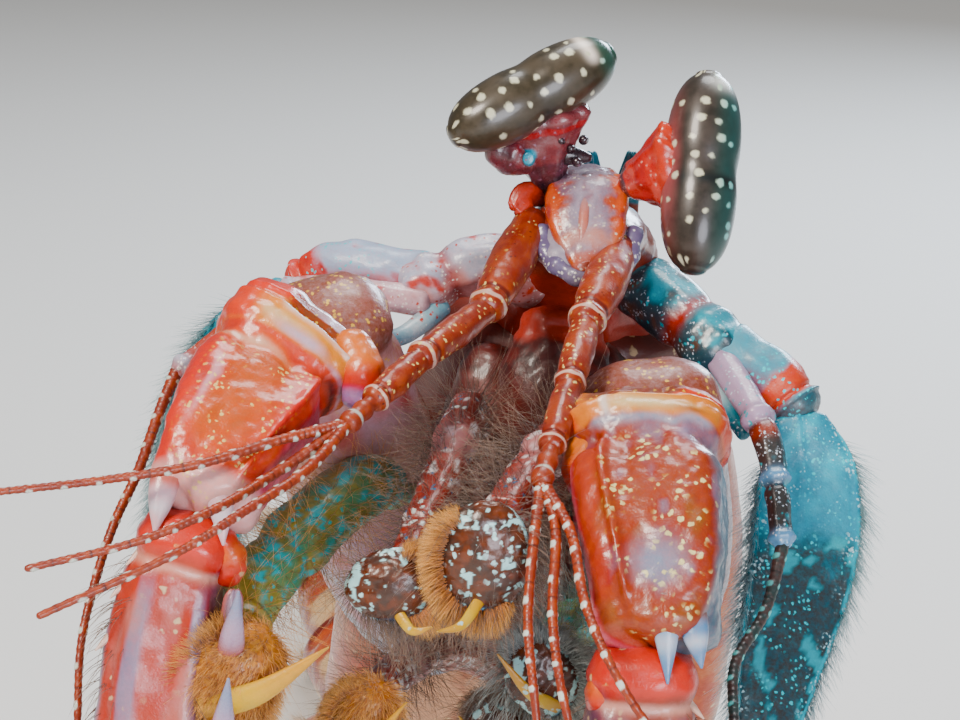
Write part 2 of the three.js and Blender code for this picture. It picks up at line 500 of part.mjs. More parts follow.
for (const [side, word] of mirrorSides) {
  const form = claws[word];
  const [wristStart, , , wristEnd] = form.wrist;
  const hand = form.hand;
  addNode(`claw_wrist_${word}`, '#cc4f3a', shellFinish, (grow) => {
    const block = loft(wristStops(form.wrist),
      { sides: 12, rings: 9, up: [0, -1, 0.3], grow, section: boxy, dome: [0.5, 0.4] });
    // the inner end of the collar hangs down as a round shoulder
    const shoulder = loft([
      [wristStart[0] - side * 2.9, wristStart[1] - 1.6, wristStart[2] - 0.2, 1.2],
      [wristStart[0] - side * 3.6, wristStart[1] - 2.8, wristStart[2] - 1.6, 1.35],
      [wristStart[0] - side * 3.4, wristStart[1] - 3.6, wristStart[2] - 3.0, 0.9]],
    { sides: 7, rings: 3, up: [0, -1, 0], grow });
    const spines = form.teeth.map(([k, root, tip]) => spine(
      [wristEnd[0] + k * 2.4, wristEnd[1] - 1.0, wristEnd[2] + root],
      [wristEnd[0] + k * 3.0, wristEnd[1] - 2.9, wristEnd[2] + tip], 0.85,
      { grow, flat: 0.7, up: [0, -1, 0], sides: 4, rings: 1 }));
    return join([block, shoulder, ...spines]);
  });
  addNode(`claw_arm_${word}`, '#b77a8a', shellFinish, (grow) => loft(
    form.arm, { sides: 12, rings: 6, up: [0, -1, 0.3], grow, section: boxy }));
  addNode(`claw_hand_${word}`, '#c9685f', shellFinish, (grow) => {
    const palm = loft(hand, { sides: 9, rings: 5, up: [0, -1, 0.1], grow, section: boxy, dome: [0.5, 0.5] });
    const knuckle = loft([[hand[0][0] - side * 2.6, hand[0][1] - 1.0, hand[0][2] + 0.4, 1.0],
      [hand[0][0] - side * 2.9, hand[0][1] - 1.0, hand[0][2] - 2.6, 1.2]],
    { sides: 6, rings: 1, up: [0, -1, 0], grow });
    return join([palm, knuckle]);
  });
  addNode(`claw_finger_${word}`, '#b7a3b8', shellFinish, (grow) => {
    const inward = -side * 3.5;
    const stops = [4, 3, 2, 1].map((k, i) => [
      hand[k][0] + inward * [0.55, 1, 1.12, 1.1][i], hand[k][1] - 1.6, hand[k][2] + [-1.4, 0, 0, 1][i],
      [1.3, 1.0, 0.9, 0.55][i], [1.6, 1.3, 1.1, 0.6][i]]);
    const blade = loft([[hand[4][0], hand[4][1], hand[4][2] - 2.2, 1.2, 1.4], ...stops],
      { sides: 4, rings: 4, up: [0, -1, 0], grow, dome: [0.5, 1.5] });
    const line = new THREE.CatmullRomCurve3(stops.map((p) => new THREE.Vector3(p[0], p[1], p[2])));
    const teeth = [];
    for (let i = 0; i < toothCount; i += 1) {
      const t = (i + 0.5) / toothCount;
      const at = line.getPoint(t);
      const length = 10 - 5.2 * t;
      teeth.push(spine([at.x, at.y + 0.2, at.z - 0.6],
        [at.x - side * 0.8, at.y - 0.35 * length - 0.8, at.z + 0.86 * length], 0.62,
        { bend: [0, -0.6, 0], grow, flat: 1.3, up: [1, 0, 0], sides: 4 }));
    }
    return join([blade, ...teeth]);
  });
}

// Mouth parts, packed on the underside below the head
addNode('mouth_parts', '#8f4540', softFinish, (grow) => {
  const lip = loft([[6.6, -60.5, 72.6, 2.6, 1.8], [6.0, -61.8, 68.5, 3.6, 2.8], [4.8, -59.5, 62.0, 3.4, 3.0],
    [4.2, -54.0, 55.0, 3.2, 2.6]], { sides: 8, rings: 3, up: [0, -1, 0.3], grow });
  const jaws = mirrorSides.map(([side]) => loft([
    [5.6 + side * 3.2, -58.0, 69.5, 2.0], [4.6 + side * 3.8, -59.4, 64.5, 2.4],
    [4.0 + side * 3.2, -56.6, 58.0, 1.8]], { sides: 6, rings: 2, up: [0, -1, 0.3], grow }));
  const cleaners = mirrorSides.map(([side]) => loft([
    [4.2 + side * 3.4, -56.0, 57.0, 0.8], [2.6 + side * 3.6, -65.0, 61.5, 0.7],
    [1.6 + side * 2.2, -71.5, 63.2, 0.6], [0.8 + side * 1.2, -76.0, 60.0, 0.5]],
  { sides: 4, rings: 3, up: [0, -1, 0.3], grow }));
  return join([lip, ...jaws, ...cleaners]);
}, 0.15);

// Small claws: a slender arm, and a round hand with a curved finger folded over it
const smallClaws = [
  {
    name: 'small_claw_1_right',
    arm: [[0.6, -52.5, 53.0, 1.2], [-3.0, -61.0, 62.0, 1.5],
      [-6.3, -70.5, 64.9, 2.0], [-12.0, -80.6, 61.6, 1.9]],
    hand: [-12.3, -86.0, 59.7], halfSize: [2.6, 3.2, 1.9], turn: 0.75,
    finger: [-6.8, -88.9, 62.3], brush: [-0.9, 3.4],
  },
  {
    name: 'small_claw_2_right',
    arm: [[1.8, -51.0, 50.0, 1.1], [1.2, -60.0, 62.0, 1.1],
      [0.8, -69.1, 69.7, 1.2], [-1.2, -78.4, 67.2, 1.2]],
    hand: [-3.3, -85.0, 64.5], halfSize: [2.7, 2.0, 1.5], turn: -0.15,
    finger: [-1.2, -87.4, 62.9], brush: [1.7, 4.4],
  },
  {
    name: 'small_claw_2_left',
    arm: [[6.6, -51.0, 50.0, 1.1], [6.6, -62.0, 61.0, 1.1],
      [6.4, -73.2, 69.4, 1.3], [3.4, -82.0, 68.6, 1.3]],
    hand: [1.6, -86.4, 66.6], halfSize: [2.5, 3.2, 1.4], turn: 0.1,
    finger: [-0.9, -89.4, 63.4], brush: [-0.9, 2.3],
  },
  {
    name: 'small_claw_1_left',
    arm: [[8.0, -52.0, 52.0, 1.2], [8.4, -62.0, 55.0, 1.3],
      [7.8, -71.0, 57.4, 1.5], [6.0, -77.6, 58.4, 1.4]],
    hand: [5.0, -82.6, 58.2], halfSize: [2.1, 2.6, 1.4], turn: -0.5,
    finger: [2.4, -84.6, 60.2], brush: [1.2, 5.4],
  },
  {
    name: 'small_claw_3_right',
    arm: [[2.0, -48.0, 45.0, 1.0], [0.0, -57.0, 49.5, 1.1],
      [-2.0, -66.0, 53.0, 1.2], [-4.0, -73.0, 54.0, 1.2]],
    hand: [-5.4, -78.0, 53.8], halfSize: [1.9, 2.3, 1.3], turn: 0.5,
    finger: [-2.8, -80.4, 55.6], brush: [-0.9, 3.4],
  },
  {
    name: 'small_claw_3_left',
    arm: [[5.6, -48.0, 45.0, 1.0], [5.8, -57.0, 48.5, 1.1],
      [5.4, -66.0, 51.5, 1.2], [3.6, -72.0, 52.6, 1.2]],
    hand: [2.4, -77.0, 52.4], halfSize: [1.9, 2.3, 1.3], turn: -0.5,
    finger: [0.2, -79.6, 54.4], brush: [1.2, 5.4],
  },
];

for (const form of smallClaws) {
  const [handX, handY, handZ] = form.hand;
  const [halfWidth, halfLength, halfDepth] = form.halfSize;
  const lean = [Math.sin(form.turn), 0, Math.cos(form.turn)];
  const across = [-Math.cos(form.turn), 0, Math.sin(form.turn)];
  // a point of the hand: sideways and lengthways in half sizes, then forward in millimetres
  const handAt = (sideways, k, forward) => [
    handX + across[0] * halfWidth * sideways + lean[0] * halfLength * k,
    handY + forward,
    handZ + across[2] * halfWidth * sideways + lean[2] * halfLength * k];
  addNode(`${form.name}_hand`, '#8a5a3c', softFinish, (grow) => {
    const palm = loft([-0.96, -0.6, 0, 0.6, 0.96].map((k) => {
      const r = Math.sqrt(1 - k * k);
      return [...handAt(0, k, 0), halfWidth * r, halfDepth * r];
    }), { sides: 8, rings: 4, up: [0, -1, 0.2], grow, dome: [0.3, 0.3] });
    const finger = spine(handAt(0, -0.7, -0.6 * halfDepth), form.finger, 0.62,
      { bend: [0, -0.9, -0.5], grow, sides: 5, end: 0.16 });
    // the brush: an even row of locks round one edge, from the top of the hand to below its finger
    const brush = [];
    for (let i = 0; i < brushLocks; i += 1) {
      const [first, last] = form.brush;
      const angle = first + (last - first) * i / (brushLocks - 1);
      const reach = brushReach * halfWidth / 2.7;
      const inner = handAt(0.72 * Math.cos(angle), -0.72 * Math.sin(angle), 0);
      const outer = handAt(
        (1 + reach / halfWidth) * Math.cos(angle), -(1 + reach / halfLength) * Math.sin(angle), -0.5);
      brush.push(lock(inner, outer, 0.85, grow));
    }
    return join([palm, finger, ...brush]);
  });
  addNode(`${form.name}_arm`, '#9a6a58', softFinish, (grow) => {
    const last = form.arm[3];
    const meet = form.hand.map((value, i) => 0.35 * last[i] + 0.65 * value);
    return loft([...form.arm, [...meet, 0.8 * last[3]]], { sides: 6, rings: 6, up: [0.2, -0.2, 1], grow });
  });
}

const group = new THREE.Group();
group.name = 'mantis_shrimp';
group.position.set(-footprintCentre[0], -footprintCentre[1], 0);
for (const { name, colour, finish, solid } of nodes) {
  const { vertProperties, triVerts } = solid.getMesh();
  const geometry = new THREE.BufferGeometry();
  geometry.setAttribute('position', new THREE.BufferAttribute(new Float32Array(vertProperties), 3));
  geometry.setIndex(new THREE.BufferAttribute(new Uint32Array(triVerts), 1));
  geometry.computeVertexNormals();
  const mesh = new THREE.Mesh(geometry, new THREE.MeshStandardMaterial({ color: colour, ...finish }));
  mesh.name = name;
  group.add(mesh);
}

export default group;
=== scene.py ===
# Spearing mantis shrimp, reared up, life size. The solids come from the frame, the looks are made here.
import math
import bpy
import numpy as np
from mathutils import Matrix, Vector


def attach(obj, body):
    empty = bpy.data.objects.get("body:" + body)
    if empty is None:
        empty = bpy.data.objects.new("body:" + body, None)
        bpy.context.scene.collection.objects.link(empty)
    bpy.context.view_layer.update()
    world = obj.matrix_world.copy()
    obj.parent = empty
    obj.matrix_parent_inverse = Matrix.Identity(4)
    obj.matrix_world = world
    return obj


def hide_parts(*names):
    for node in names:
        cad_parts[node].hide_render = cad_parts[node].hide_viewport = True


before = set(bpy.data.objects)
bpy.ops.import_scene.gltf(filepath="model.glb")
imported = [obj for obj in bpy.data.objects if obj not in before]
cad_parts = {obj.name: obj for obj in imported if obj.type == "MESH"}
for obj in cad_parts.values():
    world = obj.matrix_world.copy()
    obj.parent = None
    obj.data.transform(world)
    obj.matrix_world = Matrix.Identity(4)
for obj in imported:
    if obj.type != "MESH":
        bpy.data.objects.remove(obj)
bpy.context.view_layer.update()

footprint = {"x": 1.6, "y": 13.2}  # mm, the middle of the footprint in the animal's own drawing
fineness = 0.7  # share of the sides and rings asked for that a form is built with; 1 doubles the model
seed = 7  # of all that is scattered by chance
dice = np.random.default_rng(seed)
sidesOf = {"right": -1, "left": 1}  # the animal's own sides, by the sign of x


def toFrame(points):
    # millimetres of the animal's own drawing to metres of the frame
    return (np.asarray(points, float) - [footprint["x"], footprint["y"], 0.0]) * 0.001


def smooth(low, high, x):
    # rises from 0 at low to 1 at high as 3s^2 - 2s^3
    s = np.clip((np.asarray(x, float) - low) / (high - low), 0, 1)
    return s * s * (3 - 2 * s)


def hill(centre, width, x):
    # a bell: exp of minus the squared distance in widths
    return np.exp(-((np.asarray(x, float) - centre) / width) ** 2)


latticeTurn = np.array([[0.672, -0.514, 0.533], [0.664, 0.738, -0.124], [-0.330, 0.437, 0.837]])


def noise(points, cell, number=0):
    # gradient noise: a random slope at each corner of a turned cubic lattice, and the sum over the eight
    # corners of slope . offset, faded by 6s^5 - 15s^4 + 10s^3 of the distance on each axis; about -1 to 1
    q = np.asarray(points, float) @ latticeTurn / cell
    corner = np.floor(q).astype(np.int64)
    f = q - corner
    fade = f * f * f * (f * (6 * f - 15) + 10)
    total = 0
    for i, j, k in np.ndindex(2, 2, 2):
        key = (corner[..., 0] + i) * 73856093 ^ (corner[..., 1] + j) * 19349663
        key = (key ^ (corner[..., 2] + k) * 83492791 ^ number * 2654435761) & 0x7FFFFFFF
        key = (key * 1103515245 + 12345) & 0x7FFFFFFF
        key = ((key >> 7) * 69069 + 1) & 0xFFFFFF
        slopes = [((key >> shift) & 0xFF) / 127.5 - 1 for shift in (0, 8, 16)]
        weight = ((fade[..., 0] if i else 1 - fade[..., 0]) * (fade[..., 1] if j else 1 - fade[..., 1])
                  * (fade[..., 2] if k else 1 - fade[..., 2]))
        total = total + weight * (slopes[0] * (f[..., 0] - i) + slopes[1] * (f[..., 1] - j)
                                  + slopes[2] * (f[..., 2] - k))
    return np.clip(1.7 * total, -1, 1)


def lumps(size, number, cell):
    # a relief of soft lumps so many millimetres high and wide, with smaller ones on them
    return lambda t, turn, points: size * noise(points, cell, number) + 0.4 * size * noise(
        points, 0.35 * cell, number + 1)


def alongSpline(values, t, steps):
    # Catmull-Rom: each stretch is a cubic whose end slopes come from its neighbours; steps are the knot
    # intervals, the square roots of the distances for places and ones for sizes
    v = np.vstack([2 * values[0] - values[1], values, 2 * values[-1] - values[-2]])
    s = np.concatenate([[steps[0]], steps, [steps[-1]]])
    count = len(values) - 1
    spot = np.clip(t, 0, 1) * count
    i = np.minimum(spot.astype(int), count - 1)
    w = (spot - i)[:, None]
    p0, p1, p2, p3 = v[i], v[i + 1], v[i + 2], v[i + 3]
    d0, d1, d2 = s[i][:, None], s[i + 1][:, None], s[i + 2][:, None]
    m1 = ((p1 - p0) / d0 - (p2 - p0) / (d0 + d1) + (p2 - p1) / d1) * d1
    m2 = ((p2 - p1) / d1 - (p3 - p1) / (d1 + d2) + (p3 - p2) / d2) * d1
    b = -3 * p1 + 3 * p2 - 2 * m1 - m2
    c = 2 * p1 - 2 * p2 + m1 + m2
    return p1 + w * m1 + w ** 2 * b + w ** 3 * c, m1 + 2 * w * b + 3 * w ** 2 * c


def roundSection(c, s):
    return c, s


def archedSection(c, s):
    # a flat-bellied arch: the width is a power of the cosine, the lower half is flattened
    return np.sign(c) * np.abs(c) ** 0.86, np.where(s > 0, s, 0.62 * s)


def boxySection(c, s):
    # a superellipse: both directions are the 0.72 power of cosine and sine
    return np.sign(c) * np.abs(c) ** 0.72, np.sign(s) * np.abs(s) ** 0.72


def loft(stops, sides=48, rings=48, up=(0, 0, 1), dome=(0.6, 0.6), section=roundSection, relief=None, caps=5):
    # a profile carried along a path: point = centre(t) + side a(turn) width(t) + rise b(turn) height(t), with
    # both ends closed by quarter-circle caps; relief(t, turn, points) then moves it along its normal. A stop is
    # x, y, z, width and height in mm, or one radius for both
    sides, rings = max(10, round(fineness * sides)), max(6, round(fineness * rings))
    table = np.array([[*s, s[3]][:5] for s in stops], float)
    t = np.linspace(0, 1, rings + 1)
    gaps = np.sqrt(np.maximum(np.linalg.norm(np.diff(table[:, :3], axis=0), axis=1), 1e-4))
    centre, along = alongSpline(table[:, :3], t, gaps)
    along /= np.linalg.norm(along, axis=1)[:, None]
    size = np.maximum(alongSpline(table[:, 3:5], t, np.ones(len(table) - 1))[0], 0.05)
    capTurn = np.pi / 2 * (1 - np.arange(1, caps) / caps)
    narrow = size.min(axis=1)
    startShift = -dome[0] * narrow[0] * np.sin(capTurn)
    endShift = dome[1] * narrow[-1] * np.sin(capTurn)[::-1]
    centre = np.vstack([centre[0] + startShift[:, None] * along[0], centre,
                        centre[-1] + endShift[:, None] * along[-1]])
    size = np.vstack([size[0] * np.cos(capTurn)[:, None], size, size[-1] * np.cos(capTurn)[::-1, None]])
    poles = np.array([centre[caps - 1] - dome[0] * narrow[0] * along[0],
                      centre[-caps] + dome[1] * narrow[-1] * along[-1]])
    along = np.vstack([np.repeat(along[:1], caps - 1, 0), along, np.repeat(along[-1:], caps - 1, 0)])
    t = np.concatenate([np.zeros(caps - 1), t, np.ones(caps - 1)])
    rise = np.asarray(up, float) - (along @ np.asarray(up, float))[:, None] * along
    rise /= np.linalg.norm(rise, axis=1)[:, None]
    side = np.cross(rise, along)
    turn = np.pi - np.arange(sides) / sides * 2 * np.pi
    a, b = section(np.cos(turn)[None, :], np.sin(turn)[None, :])
    points = (centre[:, None, :] + side[:, None, :] * (a * size[:, :1])[..., None]
              + rise[:, None, :] * (b * size[:, 1:])[..., None])
    around = np.roll(points, -1, axis=1) - np.roll(points, 1, axis=1)
    normal = np.cross(around, np.gradient(points, axis=0))
    normal *= np.sign(np.sum(normal * (points - centre[:, None, :]), axis=2).mean())
    normal /= np.maximum(np.linalg.norm(normal, axis=2), 1e-9)[..., None]
    turns = np.broadcast_to(turn[None, :], points.shape[:2])
    ts = np.broadcast_to(t[:, None], points.shape[:2])
    if relief is not None:
        points = points + normal * relief(ts, turns, points)[..., None]
        poles = poles + np.array([points[0].mean(0) - centre[0], points[-1].mean(0) - centre[-1]])
    travel = np.concatenate([[0], np.cumsum(np.linalg.norm(np.diff(centre, axis=0), axis=1))])
    return {"points": points, "poles": poles, "t": ts, "turn": turns, "normal": normal, "travel": travel,
            "girth": 2 * np.pi * size.mean(), "zones": np.zeros((*ts.shape, 4)),
            "tint": np.zeros((*ts.shape, 4))}


def spine(root, tip, radius, bend=(0, 0, 0), flat=1.0, sides=10, rings=8, up=(0, 0, 1), end=0.08):
    # a loft through root, a bent middle and the tip, narrowing all the way
    root, tip = np.asarray(root, float), np.asarray(tip, float)
    middle = 0.55 * root + 0.45 * tip + np.asarray(bend, float)
    stops = [[*root, radius, radius * flat], [*middle, 0.8 * radius, 0.8 * radius * flat], [*tip, end, end]]
    return loft(stops, sides, rings, up=up, dome=(0.2, 0.8), caps=3)


def restOnFloor(*surfaces):
    # what would pass through the floor lies on it: z' = the greater of z and 0
    for surface in surfaces:
        for part in ("points", "poles"):
            surface[part][..., 2] = np.maximum(surface[part][..., 2], 0.0)


def meshObject(name, vertices, quads, triangles, material):
    mesh = bpy.data.meshes.new(name)
    mesh.vertices.add(len(vertices))
    mesh.vertices.foreach_set("co", toFrame(vertices).astype(np.float32).ravel())
    loops = np.concatenate([quads.ravel(), triangles.ravel()]).astype(np.int32)
    starts = np.concatenate([np.arange(len(quads)) * 4, len(quads) * 4 + np.arange(len(triangles)) * 3])
    mesh.loops.add(len(loops))
    mesh.loops.foreach_set("vertex_index", loops)
    mesh.polygons.add(len(starts))
    mesh.polygons.foreach_set("loop_start", starts.astype(np.int32))
    mesh.polygons.foreach_set("use_smooth", np.ones(len(starts), bool))
    mesh.update(calc_edges=True)
    mesh.materials.append(material)
    piece = bpy.data.objects.new(name, mesh)
    bpy.context.collection.objects.link(piece)
    return piece, mesh


def addLayer(mesh, name, colours):
    # a colour for each vertex, which the materials read by the layer's name
    layer = mesh.color_attributes.new(name, "FLOAT_COLOR", "POINT")
    layer.data.foreach_set("color", np.clip(colours, 0, 1).astype(np.float32).ravel())


def buildSkin(name, surfaces, material, nodes):
    # joins closed lofts in one mesh: quads between rings, a fan of triangles at each pole
    vertices, quads, triangles, uvQuads, uvTriangles = [], [], [], [], []
    base = 0
    for surface in surfaces:
        rows, sides = surface["points"].shape[:2]
        grid = np.arange(rows * sides).reshape(rows, sides) + base
        nextColumn = np.roll(grid, -1, axis=1)
        quads.append(np.stack([nextColumn[:-1], grid[:-1], grid[1:], nextColumn[1:]], axis=2).reshape(-1, 4))
        first, last = base + rows * sides, base + rows * sides + 1
        triangles.append(np.stack([np.full(sides, first), grid[0], nextColumn[0]], axis=1))
        triangles.append(np.stack([nextColumn[-1], grid[-1], np.full(sides, last)], axis=1))
        u0 = np.broadcast_to(np.arange(sides) / sides * surface["girth"], (rows - 1, sides))
        u1 = u0 + surface["girth"] / sides
        v0 = np.broadcast_to(surface["travel"][:-1, None], u0.shape)
        v1 = np.broadcast_to(surface["travel"][1:, None], u0.shape)
        uvQuads.append(np.stack([u1, v0, u0, v0, u0, v1, u1, v1], axis=2).reshape(-1, 8))
        uvTriangles.append(np.stack([u0[0], v0[0], u0[0], v0[0], u1[0], v0[0]], axis=1))
        uvTriangles.append(np.stack([u1[0], v1[-1], u0[0], v1[-1], u0[0], v1[-1]], axis=1))
        vertices.append(np.vstack([surface["points"].reshape(-1, 3), surface["poles"]]))
        base += rows * sides + 2
    piece, mesh = meshObject(name, np.vstack(vertices), np.vstack(quads), np.vstack(triangles), material)
    for layer in ("zones", "tint"):
        # a pole takes the mean of the ring beside it
        addLayer(mesh, layer, np.vstack([row for surface in surfaces for row in (
            surface[layer].reshape(-1, 4), surface[layer][0].mean(0), surface[layer][-1].mean(0))]))
    uv = mesh.uv_layers.new(name="form")
    flat = np.concatenate([np.vstack(uvQuads).ravel(), np.vstack(uvTriangles).ravel()])
    uv.data.foreach_set("uv", flat.astype(np.float32))
    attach(piece, "root")
    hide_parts(*nodes)


def paint(surface, *masks):
    # stacks four masks, each a number or an array over the grid, in the zones of a surface
    shape = surface["t"].shape
    surface["zones"] = np.stack([np.broadcast_to(np.asarray(mask, float), shape) for mask in masks], axis=2)
    return surface


def linear(hexColour):
    # an sRGB hex colour as linear light: a channel c up to 0.04045 is c / 12.92, else ((c + 0.055) / 1.055)^2.4
    channels = [int(hexColour[i:i + 2], 16) / 255 for i in (1, 3, 5)]
    return [c / 12.92 if c <= 0.04045 else ((c + 0.055) / 1.055) ** 2.4 for c in channels] + [1.0]


def stain(surface, *layers):
    # lays colours over each other, each (hex, mask): with m the mask, a the cover so far and c the colour,
    # colour' = (c m + colour a (1 - m)) / a' where a' = m + a (1 - m)
    shape = surface["t"].shape
    tint, cover = np.zeros((*shape, 3)), np.zeros(shape)
    for shade, mask in layers:
        m = np.clip(np.broadcast_to(np.asarray(mask, float), shape), 0, 1)
        together = m + cover * (1 - m)
        tint = (np.array(linear(shade)[:3]) * m[..., None] + tint * (cover * (1 - m))[..., None]) / np.maximum(
            together, 1e-6)[..., None]
        cover = together
    surface["tint"] = np.concatenate([tint, cover[..., None]], axis=2)
    return surface


# Materials

softly = {"interpolation_type": "SMOOTHSTEP"}
inColour = {"data_type": "RGBA"}


def emptyMaterial(name):
    # a material without nodes, and the function that adds a node to it
    material = bpy.data.materials.new(name)
    material.use_nodes = True
    tree = material.node_tree
    tree.nodes.clear()

    def add(kind, inputs=None, **settings):
        # a shader node with its settings, and each of its inputs with a value or a link
        node = tree.nodes.new("ShaderNode" + kind)
        for key, value in settings.items():
            setattr(node, key, value)
        for key, value in (inputs or {}).items():
            if isinstance(value, bpy.types.NodeSocket):
                tree.links.new(value, node.inputs[key])
            else:
                node.inputs[key].default_value = value
        return node
    return material, add


def perMm(size):
    # texture scale of a pattern whose cells are so many millimetres across, on coordinates in metres
    return 1000.0 / size


wetSkin = {"mottleSpread": 0.09, "grainMm": 0.35, "grain": 0.22, "grainColour": "#2a1410", "poreMm": 0.16,
           "bump": 0.35, "glow": 0.08, "saturation": 1.22, "value": 0.8}  # what a shell's own look may change


def cuticle(name, ownLook):
    # Sclerotised shell of a crustacean, grown in layers and wet: colour lies in blotches under a clear skin, so
    # it has a soft mottle, sharp pale flecks on top, fine pores and a thin bright coat of water
    look = {**wetSkin, **ownLook}
    material, add = emptyMaterial(name)
    where = add("TexCoord").outputs["Object"]
    cloud = add("TexNoise", {"Vector": where, "Scale": perMm(look["mottleMm"]), "Detail": 5.0,
                             "Roughness": 0.62}).outputs["Fac"]
    fine = add("TexNoise", {"Vector": where, "Scale": perMm(look["grainMm"]), "Detail": 4.0,
                            "Roughness": 0.7}).outputs["Fac"]
    blotch = add("MapRange", {0: cloud, 1: 0.5 - look["mottleSpread"], 2: 0.5 + look["mottleSpread"]},
                 **softly).outputs[0]
    colour = add("Mix", {0: blotch, 6: linear(look["base"]), 7: linear(look["second"])}, **inColour).outputs[2]
    zones = add("Attribute", attribute_name="zones")
    split = add("SeparateColor", {0: zones.outputs["Color"]})
    channels = [*split.outputs[:3], zones.outputs["Alpha"]]
    for channel, shade in zip(channels, look.get("zoneColours", [])):
        # a painted zone reaches further where the mottle is strong, so its edge is ragged
        reach = add("Math", {0: cloud, 1: 0.9, 2: channel}, operation="MULTIPLY_ADD").outputs[0]
        mask = add("MapRange", {0: reach, 1: 0.72, 2: 1.18}, **softly).outputs[0]
        colour = add("Mix", {0: mask, 6: colour, 7: linear(shade)}, **inColour).outputs[2]
    tint = add("Attribute", attribute_name="tint")
    breakUp = add("MapRange", {0: fine, 1: 0.3, 2: 0.7, 3: 0.78}, **softly).outputs[0]
    cover = add("Math", {0: tint.outputs["Alpha"], 1: breakUp}, operation="MULTIPLY").outputs[0]
    colour = add("Mix", {0: cover, 6: colour, 7: tint.outputs["Color"]}, **inColour).outputs[2]
    for fleck in look.get("flecks", []):
        # flecks: the middles of Voronoi cells bent by noise, kept where the cell's own random value is high, in
        # patches where clusterMm is given and within a painted zone where zone is
        swirl = add("TexNoise", {"Vector": where, "Scale": perMm(fleck["mm"] * 0.8)})
        bent = add("VectorMath", {0: swirl.outputs["Color"], 1: [0.0009 * fleck["mm"]] * 3, 2: where},
                   operation="MULTIPLY_ADD").outputs[0]
        cells = add("TexVoronoi", {"Vector": bent, "Scale": perMm(fleck["mm"])})
        chance = add("SeparateColor", {0: cells.outputs["Color"]}).outputs[0]
        mask = add("MapRange", {0: chance, 1: fleck["keep"] - 0.02, 2: fleck["keep"] + 0.02},
                   **softly).outputs[0]
        masks = [add("MapRange", {0: cells.outputs["Distance"], 1: fleck["size"],
                                  2: fleck["size"] * 0.55}, **softly).outputs[0]]
        if "clusterMm" in fleck:
            patch = add("TexNoise", {"Vector": where, "Scale": perMm(fleck["clusterMm"])})
            masks.append(add("MapRange", {0: patch.outputs["Fac"], 1: 0.44, 2: 0.56}, **softly).outputs[0])
        if "zone" in fleck:
            masks.append(channels[fleck["zone"]])
        for other in masks:
            mask = add("Math", {0: mask, 1: other}, operation="MULTIPLY").outputs[0]
        colour = add("Mix", {0: mask, 6: colour, 7: linear(fleck["colour"])}, **inColour).outputs[2]
    grain = add("MapRange", {0: fine, 1: 0.25, 2: 0.75, 4: look["grain"]}, **softly).outputs[0]
    colour = add("Mix", {0: grain, 6: colour, 7: linear(look["grainColour"])}, **inColour).outputs[2]
    colour = add("HueSaturation", {"Saturation": look["saturation"], "Value": look["value"],
                                   "Color": colour}).outputs[0]
    roughness = add("MapRange", {0: fine, 1: 0.3, 2: 0.7, 3: look["roughness"] - 0.07,
                                 4: look["roughness"] + 0.09}, **softly).outputs[0]
    pores = add("TexNoise", {"Vector": where, "Scale": perMm(look["poreMm"]), "Detail": 3.0})
    swells = add("Math", {0: cloud, 1: 1.2}, operation="MULTIPLY").outputs[0]
    height = add("Math", {0: pores.outputs["Fac"], 1: 0.5, 2: swells}, operation="MULTIPLY_ADD").outputs[0]
    bump = add("Bump", {"Strength": look["bump"], "Distance": 0.00012, "Height": height})
    shader = add("BsdfPrincipled", {
        "Base Color": colour, "Roughness": roughness, "Normal": bump.outputs[0], "IOR": 1.5,
        "Coat Weight": look["coat"], "Coat Roughness": 0.12, "Coat IOR": 1.35,
        "Subsurface Weight": look["glow"], "Subsurface Radius": [0.0012, 0.0005, 0.0004],
        "Subsurface Scale": 1.0})
    add("OutputMaterial", {0: shader.outputs[0]})
    return material


def bristleMaterial(name, rootColour, tipColour):
    # Chitin setae, hollow and springy: dark at the root and paler to the tip, with a soft shine along them;
    # some are dusty, which the second channel of their zones says
    material, add = emptyMaterial(name)
    zones = add("Attribute", attribute_name="zones")
    split = add("SeparateColor", {0: zones.outputs["Color"]})
    colour = add("Mix", {0: split.outputs[0], 6: linear(rootColour), 7: linear(tipColour)},
                 **inColour).outputs[2]
    dust = add("MapRange", {0: split.outputs[1], 4: 0.45}, **softly).outputs[0]
    colour = add("Mix", {0: dust, 6: colour, 7: linear("#1c110b")}, **inColour).outputs[2]
    shader = add("BsdfPrincipled", {"Base Color": colour, "Roughness": 0.5, "IOR": 1.55,
                                    "Sheen Weight": 0.15})
    add("OutputMaterial", {0: shader.outputs[0]})
    return material


